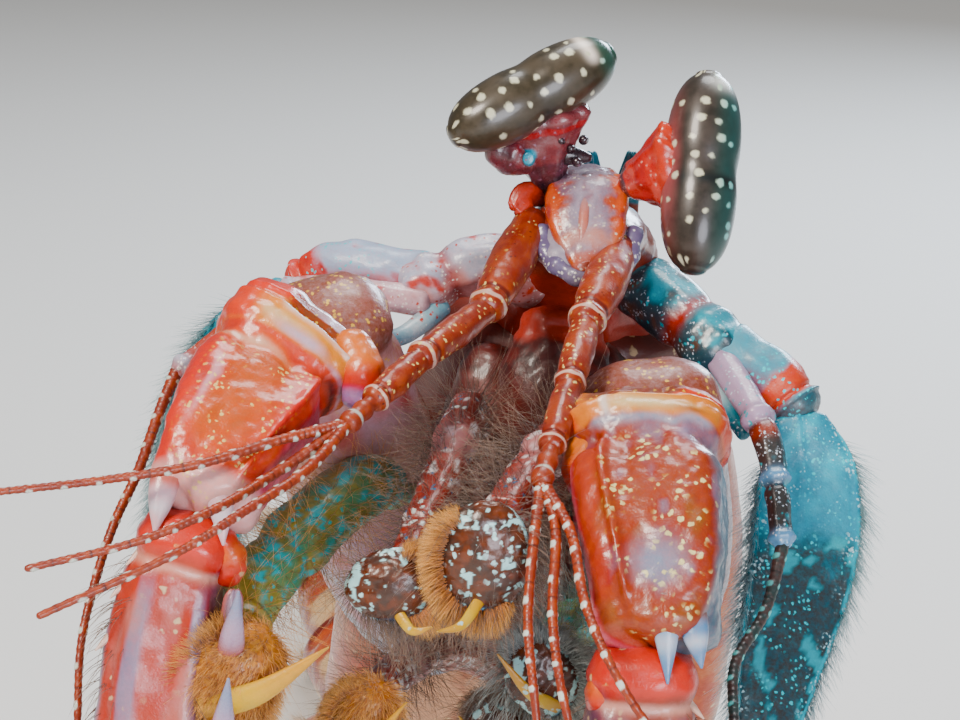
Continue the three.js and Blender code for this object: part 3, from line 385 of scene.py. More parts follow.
def corneaMaterial(name, look):
    # Faceted cornea, moulted smooth like a lens: olive brown under a hard wet gloss, with cream spots in rows;
    # the facets are drawn coarser than they are, so that they show
    material, add = emptyMaterial(name)
    where = add("TexCoord").outputs["Object"]
    form = add("UVMap", uv_map="form").outputs[0]
    cloud = add("TexNoise", {"Vector": where, "Scale": perMm(1.6), "Detail": 6.0,
                             "Roughness": 0.65}).outputs["Fac"]
    blotch = add("MapRange", {0: cloud, 1: 0.36, 2: 0.64}, **softly).outputs[0]
    colour = add("Mix", {0: blotch, 6: linear(look["base"]), 7: linear(look["second"])}, **inColour).outputs[2]
    zones = add("Attribute", attribute_name="zones")
    split = add("SeparateColor", {0: zones.outputs["Color"]})
    breakUp = add("MapRange", {0: cloud, 1: 0.2, 2: 0.6, 3: 0.55}, **softly).outputs[0]
    for channel, shade in zip([*split.outputs[:3], zones.outputs["Alpha"]], look["zoneColours"]):
        mask = add("Math", {0: channel, 1: breakUp}, operation="MULTIPLY").outputs[0]
        colour = add("Mix", {0: mask, 6: colour, 7: linear(shade)}, **inColour).outputs[2]
    # spots: each Voronoi cell of the unrolled form, spotMm across, holds one, of a random size from its cell
    wobble = add("TexNoise", {"Vector": form, "Scale": 2.2, "Detail": 3.0}).outputs["Color"]
    bent = add("VectorMath", {0: wobble, 1: [0.34, 0.34, 0.0], 2: form}, operation="MULTIPLY_ADD").outputs[0]
    cells = add("TexVoronoi", {"Vector": bent, "Scale": 1.0 / look["spotMm"], "Randomness": 0.62},
                voronoi_dimensions="2D")
    chance = add("SeparateColor", {0: cells.outputs["Color"]})
    size = add("MapRange", {0: chance.outputs[0], 3: look["spotSize"] * 0.55, 4: look["spotSize"]},
               **softly).outputs[0]
    inside = add("Math", {0: size, 1: cells.outputs["Distance"]}, operation="SUBTRACT").outputs[0]
    spot = add("MapRange", {0: inside, 1: -0.085, 2: 0.07}, **softly).outputs[0]
    kept = add("MapRange", {0: chance.outputs[1], 1: 0.12, 2: 0.16}, **softly).outputs[0]
    spot = add("Math", {0: spot, 1: kept}, operation="MULTIPLY").outputs[0]
    spotColour = add("Mix", {0: split.outputs[0], 6: linear(look["spots"]), 7: linear(look["tealSpots"])},
                     **inColour).outputs[2]
    colour = add("Mix", {0: spot, 6: colour, 7: spotColour}, **inColour).outputs[2]
    facets = add("TexVoronoi", {"Vector": where, "Scale": perMm(0.14), "Randomness": 0.35})
    bump = add("Bump", {"Strength": 0.08, "Distance": 0.00002, "Height": facets.outputs["Distance"]})
    gloss = add("MapRange", {0: cloud, 1: 0.3, 2: 0.7, 3: 0.30, 4: 0.42}, **softly).outputs[0]
    shader = add("BsdfPrincipled", {
        "Base Color": colour, "Roughness": gloss, "IOR": 1.45, "Normal": bump.outputs[0], "Coat Weight": 0.4,
        "Coat Roughness": 0.13, "Coat IOR": 1.4})
    add("OutputMaterial", {0: shader.outputs[0]})
    return material


# a shell's look: two colours of its mottle, the colours of the zones painted on it, and its flecks, each with
# the size of its cells in mm, its share of a cell, the share of cells left out and, if any, its patches or zone
shellLooks = {
    "clawShellRight": {
        "base": "#c9402e", "second": "#d9706a", "mottleMm": 1.7, "roughness": 0.34, "coat": 0.5,
        "flecks": [{"mm": 0.34, "size": 0.44, "keep": 0.35, "colour": "#f7d89a", "clusterMm": 1.8, "zone": 2},
                   {"mm": 0.3, "size": 0.42, "keep": 0.5, "colour": "#e9c272", "zone": 0}]},
    "clawShellLeft": {
        "base": "#a8482f", "second": "#b46a4b", "mottleMm": 1.8, "roughness": 0.36, "coat": 0.45,
        "flecks": [{"mm": 0.5, "size": 0.44, "keep": 0.3, "colour": "#efe2a8", "clusterMm": 2.0, "zone": 2},
                   {"mm": 0.3, "size": 0.42, "keep": 0.5, "colour": "#e9c272", "zone": 0}]},
    "clawArmShell": {
        "base": "#b98c9b", "second": "#a8b4c4", "mottleMm": 3.0, "roughness": 0.4, "coat": 0.3,
        "flecks": [{"mm": 0.34, "size": 0.44, "keep": 0.45, "colour": "#e9c272", "clusterMm": 1.6, "zone": 0}]},
    "clawHandShell": {
        "base": "#b85048", "second": "#a8757c", "mottleMm": 2.2, "roughness": 0.36, "coat": 0.4,
        "flecks": [{"mm": 0.9, "size": 0.3, "keep": 0.6, "colour": "#e6c9a4", "clusterMm": 4.0}]},
    "fingerEnamel": {
        "base": "#c98a8c", "second": "#a99bb4", "mottleMm": 4.0, "roughness": 0.28, "coat": 0.6, "grain": 0.08,
        "glow": 0.15},
    "antennuleShell": {
        "base": "#8a2f1e", "second": "#a4482b", "mottleMm": 1.4, "roughness": 0.38, "coat": 0.35,
        "zoneColours": ["#d7b4a6", "#6f2216"],
        "flecks": [{"mm": 0.34, "size": 0.42, "keep": 0.5, "colour": "#f3dca0", "clusterMm": 1.7},
                   {"mm": 0.3, "size": 0.3, "keep": 0.8, "colour": "#5d1d16"}]},
    "feelerShell": {
        "base": "#8c3a2a", "second": "#a4503c", "mottleMm": 0.8, "roughness": 0.42, "coat": 0.25,
        "zoneColours": ["#dfe6dc", "#4b1d1a"]},
    "darkFeelerShell": {
        "base": "#2f3f3c", "second": "#4a3a36", "mottleMm": 0.8, "roughness": 0.42, "coat": 0.25,
        "zoneColours": ["#7fd4cf", "#141d1d"]},
    "pinkAntennaShell": {
        "base": "#d88f84", "second": "#cdb4bc", "mottleMm": 1.9, "roughness": 0.36, "coat": 0.4,
        "flecks": [{"mm": 0.24, "size": 0.42, "keep": 0.45, "colour": "#f2ece8", "clusterMm": 1.6},
                   {"mm": 0.3, "size": 0.42, "keep": 0.7, "colour": "#c2665c", "clusterMm": 2.2}]},
    "tealAntennaShell": {
        "base": "#27454a", "second": "#3b3a2e", "mottleMm": 1.5, "roughness": 0.34, "coat": 0.45,
        "flecks": [{"mm": 0.45, "size": 0.42, "keep": 0.5, "colour": "#3fb6c4", "clusterMm": 2.0},
                   {"mm": 0.22, "size": 0.42, "keep": 0.5, "colour": "#dbe9f4", "clusterMm": 1.2}]},
    "scaleMembrane": {
        "base": "#1f8ea8", "second": "#3fa4b8", "mottleMm": 2.2, "roughness": 0.42, "coat": 0.2,
        "flecks": [{"mm": 0.2, "size": 0.4, "keep": 0.55, "colour": "#a9dbe6", "clusterMm": 1.8, "zone": 0},
                   {"mm": 0.26, "size": 0.46, "keep": 0.15, "colour": "#cdeef4", "clusterMm": 1.5, "zone": 1},
                   {"mm": 0.3, "size": 0.42, "keep": 0.5, "colour": "#58d6e0", "clusterMm": 2.4}]},
    "headShell": {
        "base": "#8c4a44", "second": "#a35c4e", "mottleMm": 1.5, "roughness": 0.34, "coat": 0.5,
        "zoneColours": ["#6f6684", "#b93a2a", "#a39aa8", "#2f7f95"],
        "flecks": [{"mm": 0.26, "size": 0.42, "keep": 0.45, "colour": "#e6e4de", "zone": 0}]},
    "plateShell": {
        "base": "#b5745c", "second": "#a38a8e", "mottleMm": 1.5, "roughness": 0.3, "coat": 0.6,
        "flecks": [{"mm": 0.3, "size": 0.4, "keep": 0.7, "colour": "#d9cbbc", "clusterMm": 1.6}]},
    "stalkShellRight": {
        "base": "#4a2a30", "second": "#6a3f4a", "mottleMm": 1.3, "roughness": 0.3, "coat": 0.6,
        "zoneColours": ["#7d464a", "#a8242a", "#3f9fb8", "#2a1a22"],
        "flecks": [{"mm": 0.3, "size": 0.4, "keep": 0.7, "colour": "#9a7484", "clusterMm": 1.4}]},
    "stalkShellLeft": {
        "base": "#b8302e", "second": "#d3726c", "mottleMm": 1.4, "roughness": 0.3, "coat": 0.6,
        "zoneColours": ["#c9625a", "#b81f1c", "#d9713a", "#4a3038"],
        "flecks": [{"mm": 0.3, "size": 0.4, "keep": 0.75, "colour": "#e2a49a", "clusterMm": 1.4}]},
    "trunkShell": {
        "base": "#b4492f", "second": "#c4694a", "mottleMm": 3.2, "roughness": 0.38, "coat": 0.35,
        "zoneColours": ["#e3c19a", "#6f2a1f", "#d8a98c", "#8f3a2a"],
        "flecks": [{"mm": 1.0, "size": 0.3, "keep": 0.6, "colour": "#e8cba2", "clusterMm": 6.0}]},
    "limbShell": {
        "base": "#cf7f58", "second": "#dba07c", "mottleMm": 2.0, "roughness": 0.4, "coat": 0.3,
        "zoneColours": ["#f0d9bb", "#a03c28"],
        "flecks": [{"mm": 0.8, "size": 0.3, "keep": 0.7, "colour": "#f1dcbc"}]},
    "softSkin": {
        "base": "#5a1a14", "second": "#35120f", "mottleMm": 1.6, "roughness": 0.45, "coat": 0.3,
        "zoneColours": ["#a8382a", "#2a1614", "#7a4a46"]},
    "brownHandShell": {
        "base": "#5d3424", "second": "#3f2a22", "mottleMm": 1.2, "roughness": 0.34, "coat": 0.45,
        "flecks": [{"mm": 0.45, "size": 0.44, "keep": 0.6, "colour": "#c9f2f2", "clusterMm": 2.0}]},
    "armShell": {
        "base": "#8f5244", "second": "#a97a70", "mottleMm": 1.2, "roughness": 0.38, "coat": 0.4,
        "flecks": [{"mm": 0.6, "size": 0.42, "keep": 0.5, "colour": "#dfeae8", "clusterMm": 1.8},
                   {"mm": 0.5, "size": 0.35, "keep": 0.75, "colour": "#3d6f96"}]},
    "mossyShell": {
        "base": "#5fa07a", "second": "#a8a05c", "mottleMm": 1.8, "roughness": 0.42, "coat": 0.3,
        "flecks": [{"mm": 0.45, "size": 0.42, "keep": 0.55, "colour": "#56c9c4", "clusterMm": 1.8}]},
    "goldHandShell": {"base": "#c98440", "second": "#b5713a", "mottleMm": 1.8, "roughness": 0.42, "coat": 0.3},
}
corneaLooks = {
    "corneaRight": {"base": "#2b2517", "second": "#3d3425", "spotMm": 1.2, "spotSize": 0.21, "spots": "#bdbb9f",
                    "tealSpots": "#6fb8b0", "zoneColours": ["#1d4a3c", "#1a1712", "#ded2c4", "#8c4a4e"]},
    "corneaLeft": {"base": "#241f19", "second": "#352c25", "spotMm": 1.15, "spotSize": 0.21, "spots": "#bdbb9f",
                   "tealSpots": "#6fb8b0", "zoneColours": ["#15403c", "#0e1414", "#dfe2dc", "#9a4a4c"]},
}
setaeColours = {  # at the root and at the tip
    "goldenSetae": ["#c06c14", "#f0ae48"], "brownSetae": ["#4f3626", "#94745c"],
    "greySetae": ["#6f7a78", "#aeb8b4"], "paleSetae": ["#c9a88a", "#efe0cc"],
    "mistSetae": ["#4f8f98", "#a9c8cc"],
}
shells = {name: cuticle(name, look) for name, look in shellLooks.items()}
corneas = {name: corneaMaterial(name, look) for name, look in corneaLooks.items()}
setae = {name: bristleMaterial(name, *colours) for name, colours in setaeColours.items()}
print("materials made:", len(shells) + len(corneas) + len(setae))


# Bristles

def tuftMesh(name, roots, tips, middles, uvs, look):
    # each bristle is a closed three-sided thorn along a bent line: the point at s is
    # (1-s)^2 root + 2s(1-s) middle + s^2 tip, and its radius falls to a quarter before the point
    count, segments = len(roots), look.get("segments", 4)
    s = np.linspace(0, 0.94, segments)[None, :, None]
    line = (1 - s) ** 2 * roots[:, None] + 2 * s * (1 - s) * middles[:, None] + s ** 2 * tips[:, None]
    reach = tips - roots
    reach /= np.maximum(np.linalg.norm(reach, axis=1), 1e-6)[:, None]
    across = np.cross(reach, dice.normal(size=(count, 3)))
    across /= np.maximum(np.linalg.norm(across, axis=1), 1e-6)[:, None]
    other = np.cross(reach, across)
    width = look["radius"] * (1 - 0.82 * s[0, :, 0])
    turns = np.array([0, 2 * np.pi / 3, 4 * np.pi / 3])
    ring = (np.cos(turns)[None, None, :, None] * across[:, None, None, :]
            + np.sin(turns)[None, None, :, None] * other[:, None, None, :])
    rings = line[:, :, None, :] + ring * width[None, :, None, None]
    # what would pass through the floor lies on it
    rings[..., 2] = np.maximum(rings[..., 2], 0.02)
    tips = np.concatenate([tips[:, :2], np.maximum(tips[:, 2:], 0.03)], axis=1)
    vertices = np.concatenate([rings.reshape(count, -1, 3), tips[:, None, :]], axis=1)
    each = segments * 3 + 1
    k = np.arange(segments - 1)[:, None] * 3
    j = np.arange(3)[None, :]
    nextJ = (j + 1) % 3
    quadPattern = np.stack([k + j, k + nextJ, k + 3 + nextJ, k + 3 + j], axis=2).reshape(-1, 4)
    last = (segments - 1) * 3
    trianglePattern = np.array([[last, last + 1, each - 1], [last + 1, last + 2, each - 1],
                                [last + 2, last, each - 1], [2, 1, 0]])
    offsets = (np.arange(count) * each)[:, None, None]
    quads = (quadPattern[None] + offsets).reshape(-1, 4)
    triangles = (trianglePattern[None] + offsets).reshape(-1, 3)
    piece, mesh = meshObject(name, vertices.reshape(-1, 3), quads, triangles, setae[look["setae"]])
    shade = np.zeros((count, each, 4))
    shade[:, :-1, 0] = np.repeat(s[0, :, 0], 3)[None, :]
    shade[:, -1, 0] = 1
    shade[..., 1] = (dice.random(count) ** 1.5)[:, None]
    addLayer(mesh, "zones", shade.reshape(-1, 4))
    uv = mesh.uv_layers.new(name="OFBake")
    vertexUv = np.repeat(uvs[:, None, :], each, 1) + 0.0015 * np.stack([
        np.tile([1, -1, 0], (count, segments + 1))[:, :each],
        np.linspace(-1, 1, each)[None].repeat(count, 0)], 2)
    loops = np.concatenate([quads.ravel(), triangles.ravel()])
    uv.data.foreach_set("uv", vertexUv.reshape(-1, 2)[loops].astype(np.float32).ravel())
    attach(piece, "root")


def scatter(surface, count, keep):
    # random roots on a surface: a place in the grid by area of its quads, thinned by keep(t, turn)
    points = surface["points"]
    rows, sides = points.shape[:2]
    wide = np.linalg.norm(np.roll(points, -1, axis=1) - points, axis=2)[:-1]
    tall = np.linalg.norm(np.diff(points, axis=0), axis=2)
    weight = wide * tall * np.clip(keep(surface["t"][:-1], surface["turn"][:-1]), 0, None)
    pick = dice.choice(weight.size, count, p=weight.ravel() / weight.sum())
    r, c = pick // sides, pick % sides
    fr, fc = dice.random(count)[:, None], dice.random(count)[:, None]
    c1 = (c + 1) % sides
    root = ((1 - fr) * ((1 - fc) * points[r, c] + fc * points[r, c1])
            + fr * ((1 - fc) * points[r + 1, c] + fc * points[r + 1, c1]))
    along = points[np.minimum(r + 1, rows - 1), c] - points[r, c]
    along /= np.maximum(np.linalg.norm(along, axis=1), 1e-6)[:, None]
    uv = np.stack([(c + fc[:, 0]) / sides, (r + fr[:, 0]) / rows], 1)
    return {"root": root, "normal": surface["normal"][r, c], "along": along, "uv": 0.02 + 0.96 * uv}


def coat(name, surface, look, keep):
    # bristles stand on the skin, lean along the limb and droop at the tip; lengths vary round look["length"]
    count = look["count"]
    roots = scatter(surface, count, keep)
    length = look["length"] * (0.55 + 0.75 * dice.random(count))[:, None]
    direction = roots["normal"] + look["lean"] * roots["along"] + look["stray"] * dice.normal(size=(count, 3))
    direction /= np.linalg.norm(direction, axis=1)[:, None]
    start = roots["root"] - 0.06 * roots["normal"]
    tip = start + direction * length
    tip[:, 2] -= look["droop"] * length[:, 0]
    tip += 0.10 * length * dice.normal(size=tip.shape)
    middle = start + direction * length * 0.5 + roots["normal"] * length * look.get("arch", 0.12)
    tuftMesh(name, start, tip, middle, roots["uv"], look)


# Trunk

backLine = np.array([[7.3, -54, 71], [5.9, -43.5, 55], [4.4, -32, 38.5], [3.3, -18, 26], [2.4, -3, 18.6],
                     [0.4, 22, 15.2], [-1.6, 48, 14.4], [-1.2, 74, 13.6], [1.6, 98, 11.6], [4.4, 113, 8.8]])
backUp = np.array([0, 0.6, 0.8])
trunkSizes = np.array([[0, 9.0, 5.8], [12, 11.6, 7.6], [28, 13.6, 8.6], [44, 14.0, 8.2], [60, 12.4, 7.2],
                       [76, 13.4, 6.8], [110, 15.0, 6.6], [150, 15.6, 6.2], [178, 13.8, 5.4], [190, 13.0, 4.0]])
trunk = {"carapace": 44, "thoraxRing": 7.6, "somites": [16.5, 17, 17.5, 18, 18, 15], "telson": 25}

backSteps = np.sqrt(np.linalg.norm(np.diff(backLine, axis=0), axis=1))
backT = np.linspace(0, 1, 2001)
backPoints = alongSpline(backLine, backT, backSteps)[0]
backTravel = np.concatenate([[0], np.cumsum(np.linalg.norm(np.diff(backPoints, axis=0), axis=1))])


def backAt(distance):
    # place and direction at so many millimetres along the back
    t = np.interp(distance, backTravel, backT)
    place, slope = alongSpline(backLine, np.atleast_1d(t), backSteps)
    return place, slope / np.linalg.norm(slope, axis=1)[:, None]


def trunkPoint(distance, sideways, rise):
    # a point beside and above the line of the back
    place, along = backAt(distance)
    up = backUp - (along[0] @ backUp) * along[0]
    up /= np.linalg.norm(up)
    side = np.cross(along[0], up)
    side *= np.sign(side[0])
    return place[0] + side * sideways + up * rise


def trunkStops(start, end, count, swell):
    # the stops of a ring from start to end along the back: the trunk's own sizes there, times swell(t)
    distance = np.linspace(start, end, count + 1)
    place = backAt(np.minimum(distance, backTravel[-1]))[0]
    i = np.clip(np.searchsorted(trunkSizes[:, 0], distance) - 1, 0, len(trunkSizes) - 2)
    ease = smooth(trunkSizes[i, 0], trunkSizes[i + 1, 0], distance)[:, None]
    size = trunkSizes[i, 1:] * (1 - ease) + trunkSizes[i + 1, 1:] * ease
    factor = np.array([swell(t) for t in np.linspace(0, 1, count + 1)])
    return np.hstack([place, size * factor])


def trunkRing(start, end, count, swell, rows):
    # a ring's relief: a raised hind rim, a shallow groove before it, folds down the sides and fine lumps
    def relief(t, turn, points):
        upper = smooth(-0.1, 0.5, np.sin(turn))
        rim = 0.30 * hill(0.97, 0.035, t) - 0.24 * hill(0.86, 0.05, t) - 0.16 * hill(0.16, 0.05, t)
        flank = 0.28 * hill(0.25, 0.22, np.sin(turn)) * np.cos(7 * t + 1)
        midline = 0.12 * hill(1.0, 0.03, np.sin(turn))
        return upper * rim + flank * 0.5 + midline + 0.10 * noise(points, 2.2, 3) + 0.05 * noise(points, 0.8, 4)
    return loft(trunkStops(start, end, count, swell), 112, rows, up=backUp, section=archedSection,
                dome=(0.05, 0.05), relief=relief, caps=4)


def ringZones(surface, pale):
    # a pale cross band in the middle of each ring, a dark hind edge, and a paler belly
    t, up = surface["t"], np.sin(surface["turn"])
    band = hill(0.42, 0.22, t) * pale
    hindEdge = smooth(0.86, 0.98, t) * smooth(-0.2, 0.2, up)
    belly = smooth(0.0, -0.5, up)
    flank = hill(0.1, 0.25, up) * 0.7
    return paint(surface, band, hindEdge, belly, flank)


def carapaceRelief(t, turn, points):
    # two grooves run back from the front edge, a fold crosses behind the middle, the hind edge is rolled
    up = np.sin(turn)
    grooves = (-0.35 * hill(0.42, 0.05, np.abs(np.cos(turn))) * smooth(0.02, 0.15, t)
               * smooth(1.0, 0.8, t) * (up > 0))
    cross = -0.25 * hill(0.56 + 0.05 * np.cos(2 * turn), 0.02, t) * smooth(0.2, 0.6, up)
    rim = 0.35 * hill(0.985, 0.02, t) - 0.25 * hill(0.945, 0.02, t)
    return grooves + cross + rim + 0.12 * noise(points, 2.6, 1) + 0.05 * noise(points, 0.9, 2)


def buildCarapace():
    # two pale bands, a dark front edge and hind edge, painted shade over the throat (the underside toward the
    # head), and a paler belly behind
    surface = loft(trunkStops(0, trunk["carapace"], 8, lambda t: (0.9 + t if t < 0.1 else 1.0, 1.0)),
                   144, 96, up=backUp, section=archedSection, dome=(0.25, 0.08), relief=carapaceRelief)
    up = np.sin(surface["turn"])
    t = surface["t"]
    bands = hill(0.34, 0.12, t) + hill(0.78, 0.10, t)
    # the throat is painted shade: the underside toward the head is darkened as if shaded by the head and claws
    throatShade = smooth(0.0, -0.4, up) * smooth(0.85, 0.55, t)
    ringed = paint(surface, 0.9 * bands * (1 - throatShade), smooth(0.93, 0.99, t) + smooth(0.16, 0.05, t) + throatShade,
                   smooth(0.0, -0.5, up) * (1 - throatShade), hill(0.3, 0.1, np.abs(np.cos(surface["turn"]))) * 0.4)
    cheeks = [loft([[*trunkPoint(8, s * 9.5, -1.5), 1.6, 2.6], [*trunkPoint(20, s * 11.2, -2.6), 2.4, 4.2],
                    [*trunkPoint(38, s * 12.2, -2.8), 2.2, 3.8]], 40, 40, up=backUp,
                   relief=lambda t, turn, p: 0.12 * noise(p, 2.0, 6)) for s in (-1, 1)]
    buildSkin("carapaceShell", [ringed, *[paint(c, 0.2, 0, 0.4, 0.3) for c in cheeks]], shells["trunkShell"],
              ["carapace"])


def buildThorax():
    for ring in range(4):
        start = trunk["carapace"] + ring * trunk["thoraxRing"] - 0.8
        surface = trunkRing(start, start + trunk["thoraxRing"] + 0.8, 4,
                            lambda t: (0.95 + 0.07 * t, 0.95 + 0.07 * t), 36)
        buildSkin(f"thoraxRing{ring + 5}", [ringZones(surface, 0.75)], shells["trunkShell"],
                  [f"thorax_{ring + 5}"])


swimmingLeg = {"reach": 9.2,
               "fringe": {"setae": "paleSetae", "count": 420, "length": 2.4, "radius": 0.035, "lean": 1.0,
                          "stray": 0.1, "droop": 0.02, "arch": 0.0, "segments": 3}}


def paddleForm(knee, tip):
    # a thin oval blade with faint ribs; its fringe carries it on to the length of the solid
    middle = 0.45 * knee + 0.55 * tip
    end = 0.2 * knee + 0.8 * tip
    return loft([[*knee, 1.6, 0.7], [*middle, 3.1, 0.6], [*end, 1.7, 0.3]], 28, 24, up=(0, -0.4, 1),
                relief=lambda t, turn, p: 0.05 * np.cos(9 * turn) * smooth(0, 0.3, t))


def buildAbdomen():
    # six rings, five with a pair of two-bladed swimming legs; gives back how far along the back they end
    start = trunk["carapace"] + 4 * trunk["thoraxRing"]
    for i, length in enumerate(trunk["somites"]):
        ring = trunkRing(start - 1.2, start + length, 5, lambda t: (0.93 + 0.08 * t, 0.9 + 0.11 * t), 60)
        pieces = [ringZones(ring, 1.0)]
        fringes = []
        if i < 5:
            for side in (-1, 1):
                hip = trunkPoint(start - 1.2 + 0.45 * length, side * 8.5, -2.4)
                knee = np.array([hip[0] + side * 2.2, hip[1] + 1.5, max(hip[2] - 5.4, 4.6)])
                pieces.append(paint(loft([[*hip, 2.6, 1.8], [*knee, 2.4, 1.2]], 28, 16, up=(0, 1, 0)),
                                    0.5, 0, 0.6, 0))
                reach = swimmingLeg["reach"]
                for tip in (knee + [side * 3.8, reach, 0], knee + [-side * 3.4, 0.92 * reach, 0]):
                    blade = paddleForm(knee, np.array([tip[0], tip[1], 1.65]))
                    pieces.append(paint(blade, 0.35, smooth(0.8, 1.0, blade["t"]) * 0.6, 0.5, 0))
                    fringes.append(blade)
        else:
            for side in (-1, 1):
                pieces.append(paint(spine(trunkPoint(start + length - 3, side * 9, 2.2),
                                          trunkPoint(start + length + 2.2, side * 9.6, 2.6), 1.0), 0, 1, 0, 0))
        buildSkin(f"abdomenRing{i + 1}", pieces, shells["trunkShell"], [f"abdomen_{i + 1}"])
        for k, blade in enumerate(fringes):
            coat(f"swimFringe{i + 1}_{k}", blade, swimmingLeg["fringe"],
                 keep=lambda t, turn: smooth(0.25, 0.6, t) * smooth(0.55, 0.9, np.abs(np.cos(turn))))
        start += length
    return start


tailLook = {"teeth": [-3, -2, -1, 1, 2, 3], "ribs": 11, "paddleSpines": [0.28, 0.46, 0.64, 0.8],
            "fringe": {"setae": "paleSetae", "count": 1500, "length": 2.2, "radius": 0.04, "lean": 0.9,
                       "stray": 0.08, "droop": 0.0, "arch": 0.0, "segments": 3}}


def buildTail(start):
    root = trunkPoint(start - 1.0, 0, -0.4)
    end = np.array([root[0] + 3.6, root[1] + trunk["telson"], 0.5])

    def tailAt(t, sideways, rise):
        return root + (end - root) * t + np.array([sideways, -0.14 * sideways, rise])

    def plateRelief(t, turn, p):
        # shallow ribs fan out over the shield, with a rolled edge
        c, s = np.cos(turn), np.sin(turn)
        ribs = 0.14 * np.cos(tailLook["ribs"] * c) * smooth(0.1, 0.3, t) * smooth(1.0, 0.8, t) * (s > 0)
        return ribs + 0.2 * hill(1.0, 0.12, np.abs(c)) + 0.08 * noise(p, 1.6, 8)

    plate = loft([[*tailAt(0.02, 0, 0), 9.4, 2.8], [*tailAt(0.25, 0, 0), 12.2, 2.8],
                  [*tailAt(0.6, 0, 0), 12.6, 2.2], [*tailAt(0.86, 0, 0), 10.2, 1.6],
                  [*tailAt(1, 0, 0), 6.6, 1.2]],
                 128, 72, section=archedSection, dome=(0.1, 0.8), relief=plateRelief)
    boss = loft([[*tailAt(0.1, 0, 2.0), 1.6, 1.2], [*tailAt(0.45, 0, 1.9), 2.2, 1.2],
                 [*tailAt(0.8, 0, 1.0), 1.0, 0.8]], 32, 32)
    teeth = [spine(tailAt(0.92 - 0.05 * abs(k), k * 2.9, 0.1), tailAt(1.1 - 0.075 * abs(k), k * 3.3, 0.2), 1.25)
             for k in tailLook["teeth"]]
    restOnFloor(plate, boss, *teeth)
    side = np.cos(plate["turn"])
    paint(plate,
          0.9 * hill(0.35, 0.14, plate["t"]) + 0.8 * hill(0.8, 0.1, plate["t"]) * (1 - hill(0, 0.4, side)),
          smooth(0.93, 1.0, plate["t"]), smooth(0, -0.4, np.sin(plate["turn"])), hill(0, 0.25, side) * 0.6)
    buildSkin("tailShield", [plate, paint(boss, 0.1, 0.3, 0, 0.8), *[paint(s, 0.2, 0.8, 0, 0) for s in teeth]],
              shells["trunkShell"], ["telson"])
    for word, side in sidesOf.items():
        hip = trunkPoint(start - 5, side * 11.2, -1.6)
        knee = np.array([hip[0] + side * 4.0, hip[1] + 7, 4.6])
        outerTip = np.array([knee[0] + side * 9.5, knee[1] + 14.5, 0.35])
        innerTip = np.array([knee[0] + side * 1.6, knee[1] + 16.5, 0.35])
        rootForm = paint(loft([[*hip, 3.0, 2.4], [*knee, 3.2, 2.0]], 40, 24,
                              relief=lambda t, turn, p: 0.1 * noise(p, 1.4, 9)), 0.3, 0.2, 0, 0)

        def blade(tip, width):
            middle = 0.45 * knee + 0.55 * tip
            return loft([[*knee, 2.0, 1.2], [*middle, width, 0.9], [*tip, 0.55 * width, 0.6]], 56, 56,
                        dome=(0.3, 2.2), relief=lambda t, turn, p: 0.07 * np.cos(tailLook["ribs"] * turn)
                        * smooth(0.1, 0.4, t))
        blades = [blade(outerTip, 3.5), blade(innerTip, 3.1)]
        fork = spine([knee[0] - side * 0.5, knee[1] - 1, 3.4], [knee[0] + side * 5.2, knee[1] + 15.5, 1.6], 1.2,
                     bend=(0, 0, -0.3), sides=16, rings=20)
        rowOfSpines = []
        for t in tailLook["paddleSpines"]:
            at = knee + (outerTip - knee) * t
            rowOfSpines.append(paint(spine(at + [side * 2.0, -1.0, 0], at + [side * 5.2, 1.6, 0.2], 0.45),
                                     1, 0, 0, 0))
        restOnFloor(*blades)
        for surface in blades:
            paint(surface, hill(0.5, 0.16, surface["t"]), smooth(0.75, 1.0, surface["t"]), 0, 0)
        buildSkin(f"tailPaddles_{word}", [rootForm, *blades, paint(fork, 0.2, smooth(0.5, 1, fork["t"]), 0, 0),
                                          *rowOfSpines], shells["limbShell"],
                  [f"uropod_{word}"])
        for k, surface in enumerate(blades):
            coat(f"tailFringe{k}_{word}", surface, tailLook["fringe"],
                 keep=lambda t, turn: smooth(0.3, 0.6, t) * smooth(0.75, 0.97, np.abs(np.cos(turn))))


legSteps = [{"ring": 1, "hip": 8.6, "knee": [19, -7, 13.5], "foot": [24.5, -12]},
            {"ring": 2, "hip": 9.0, "knee": [20.5, -1.5, 12], "foot": [26.5, -2.5]},
            {"ring": 3, "hip": 9.2, "knee": [20, 4, 11], "foot": [25.5, 6.5]}]


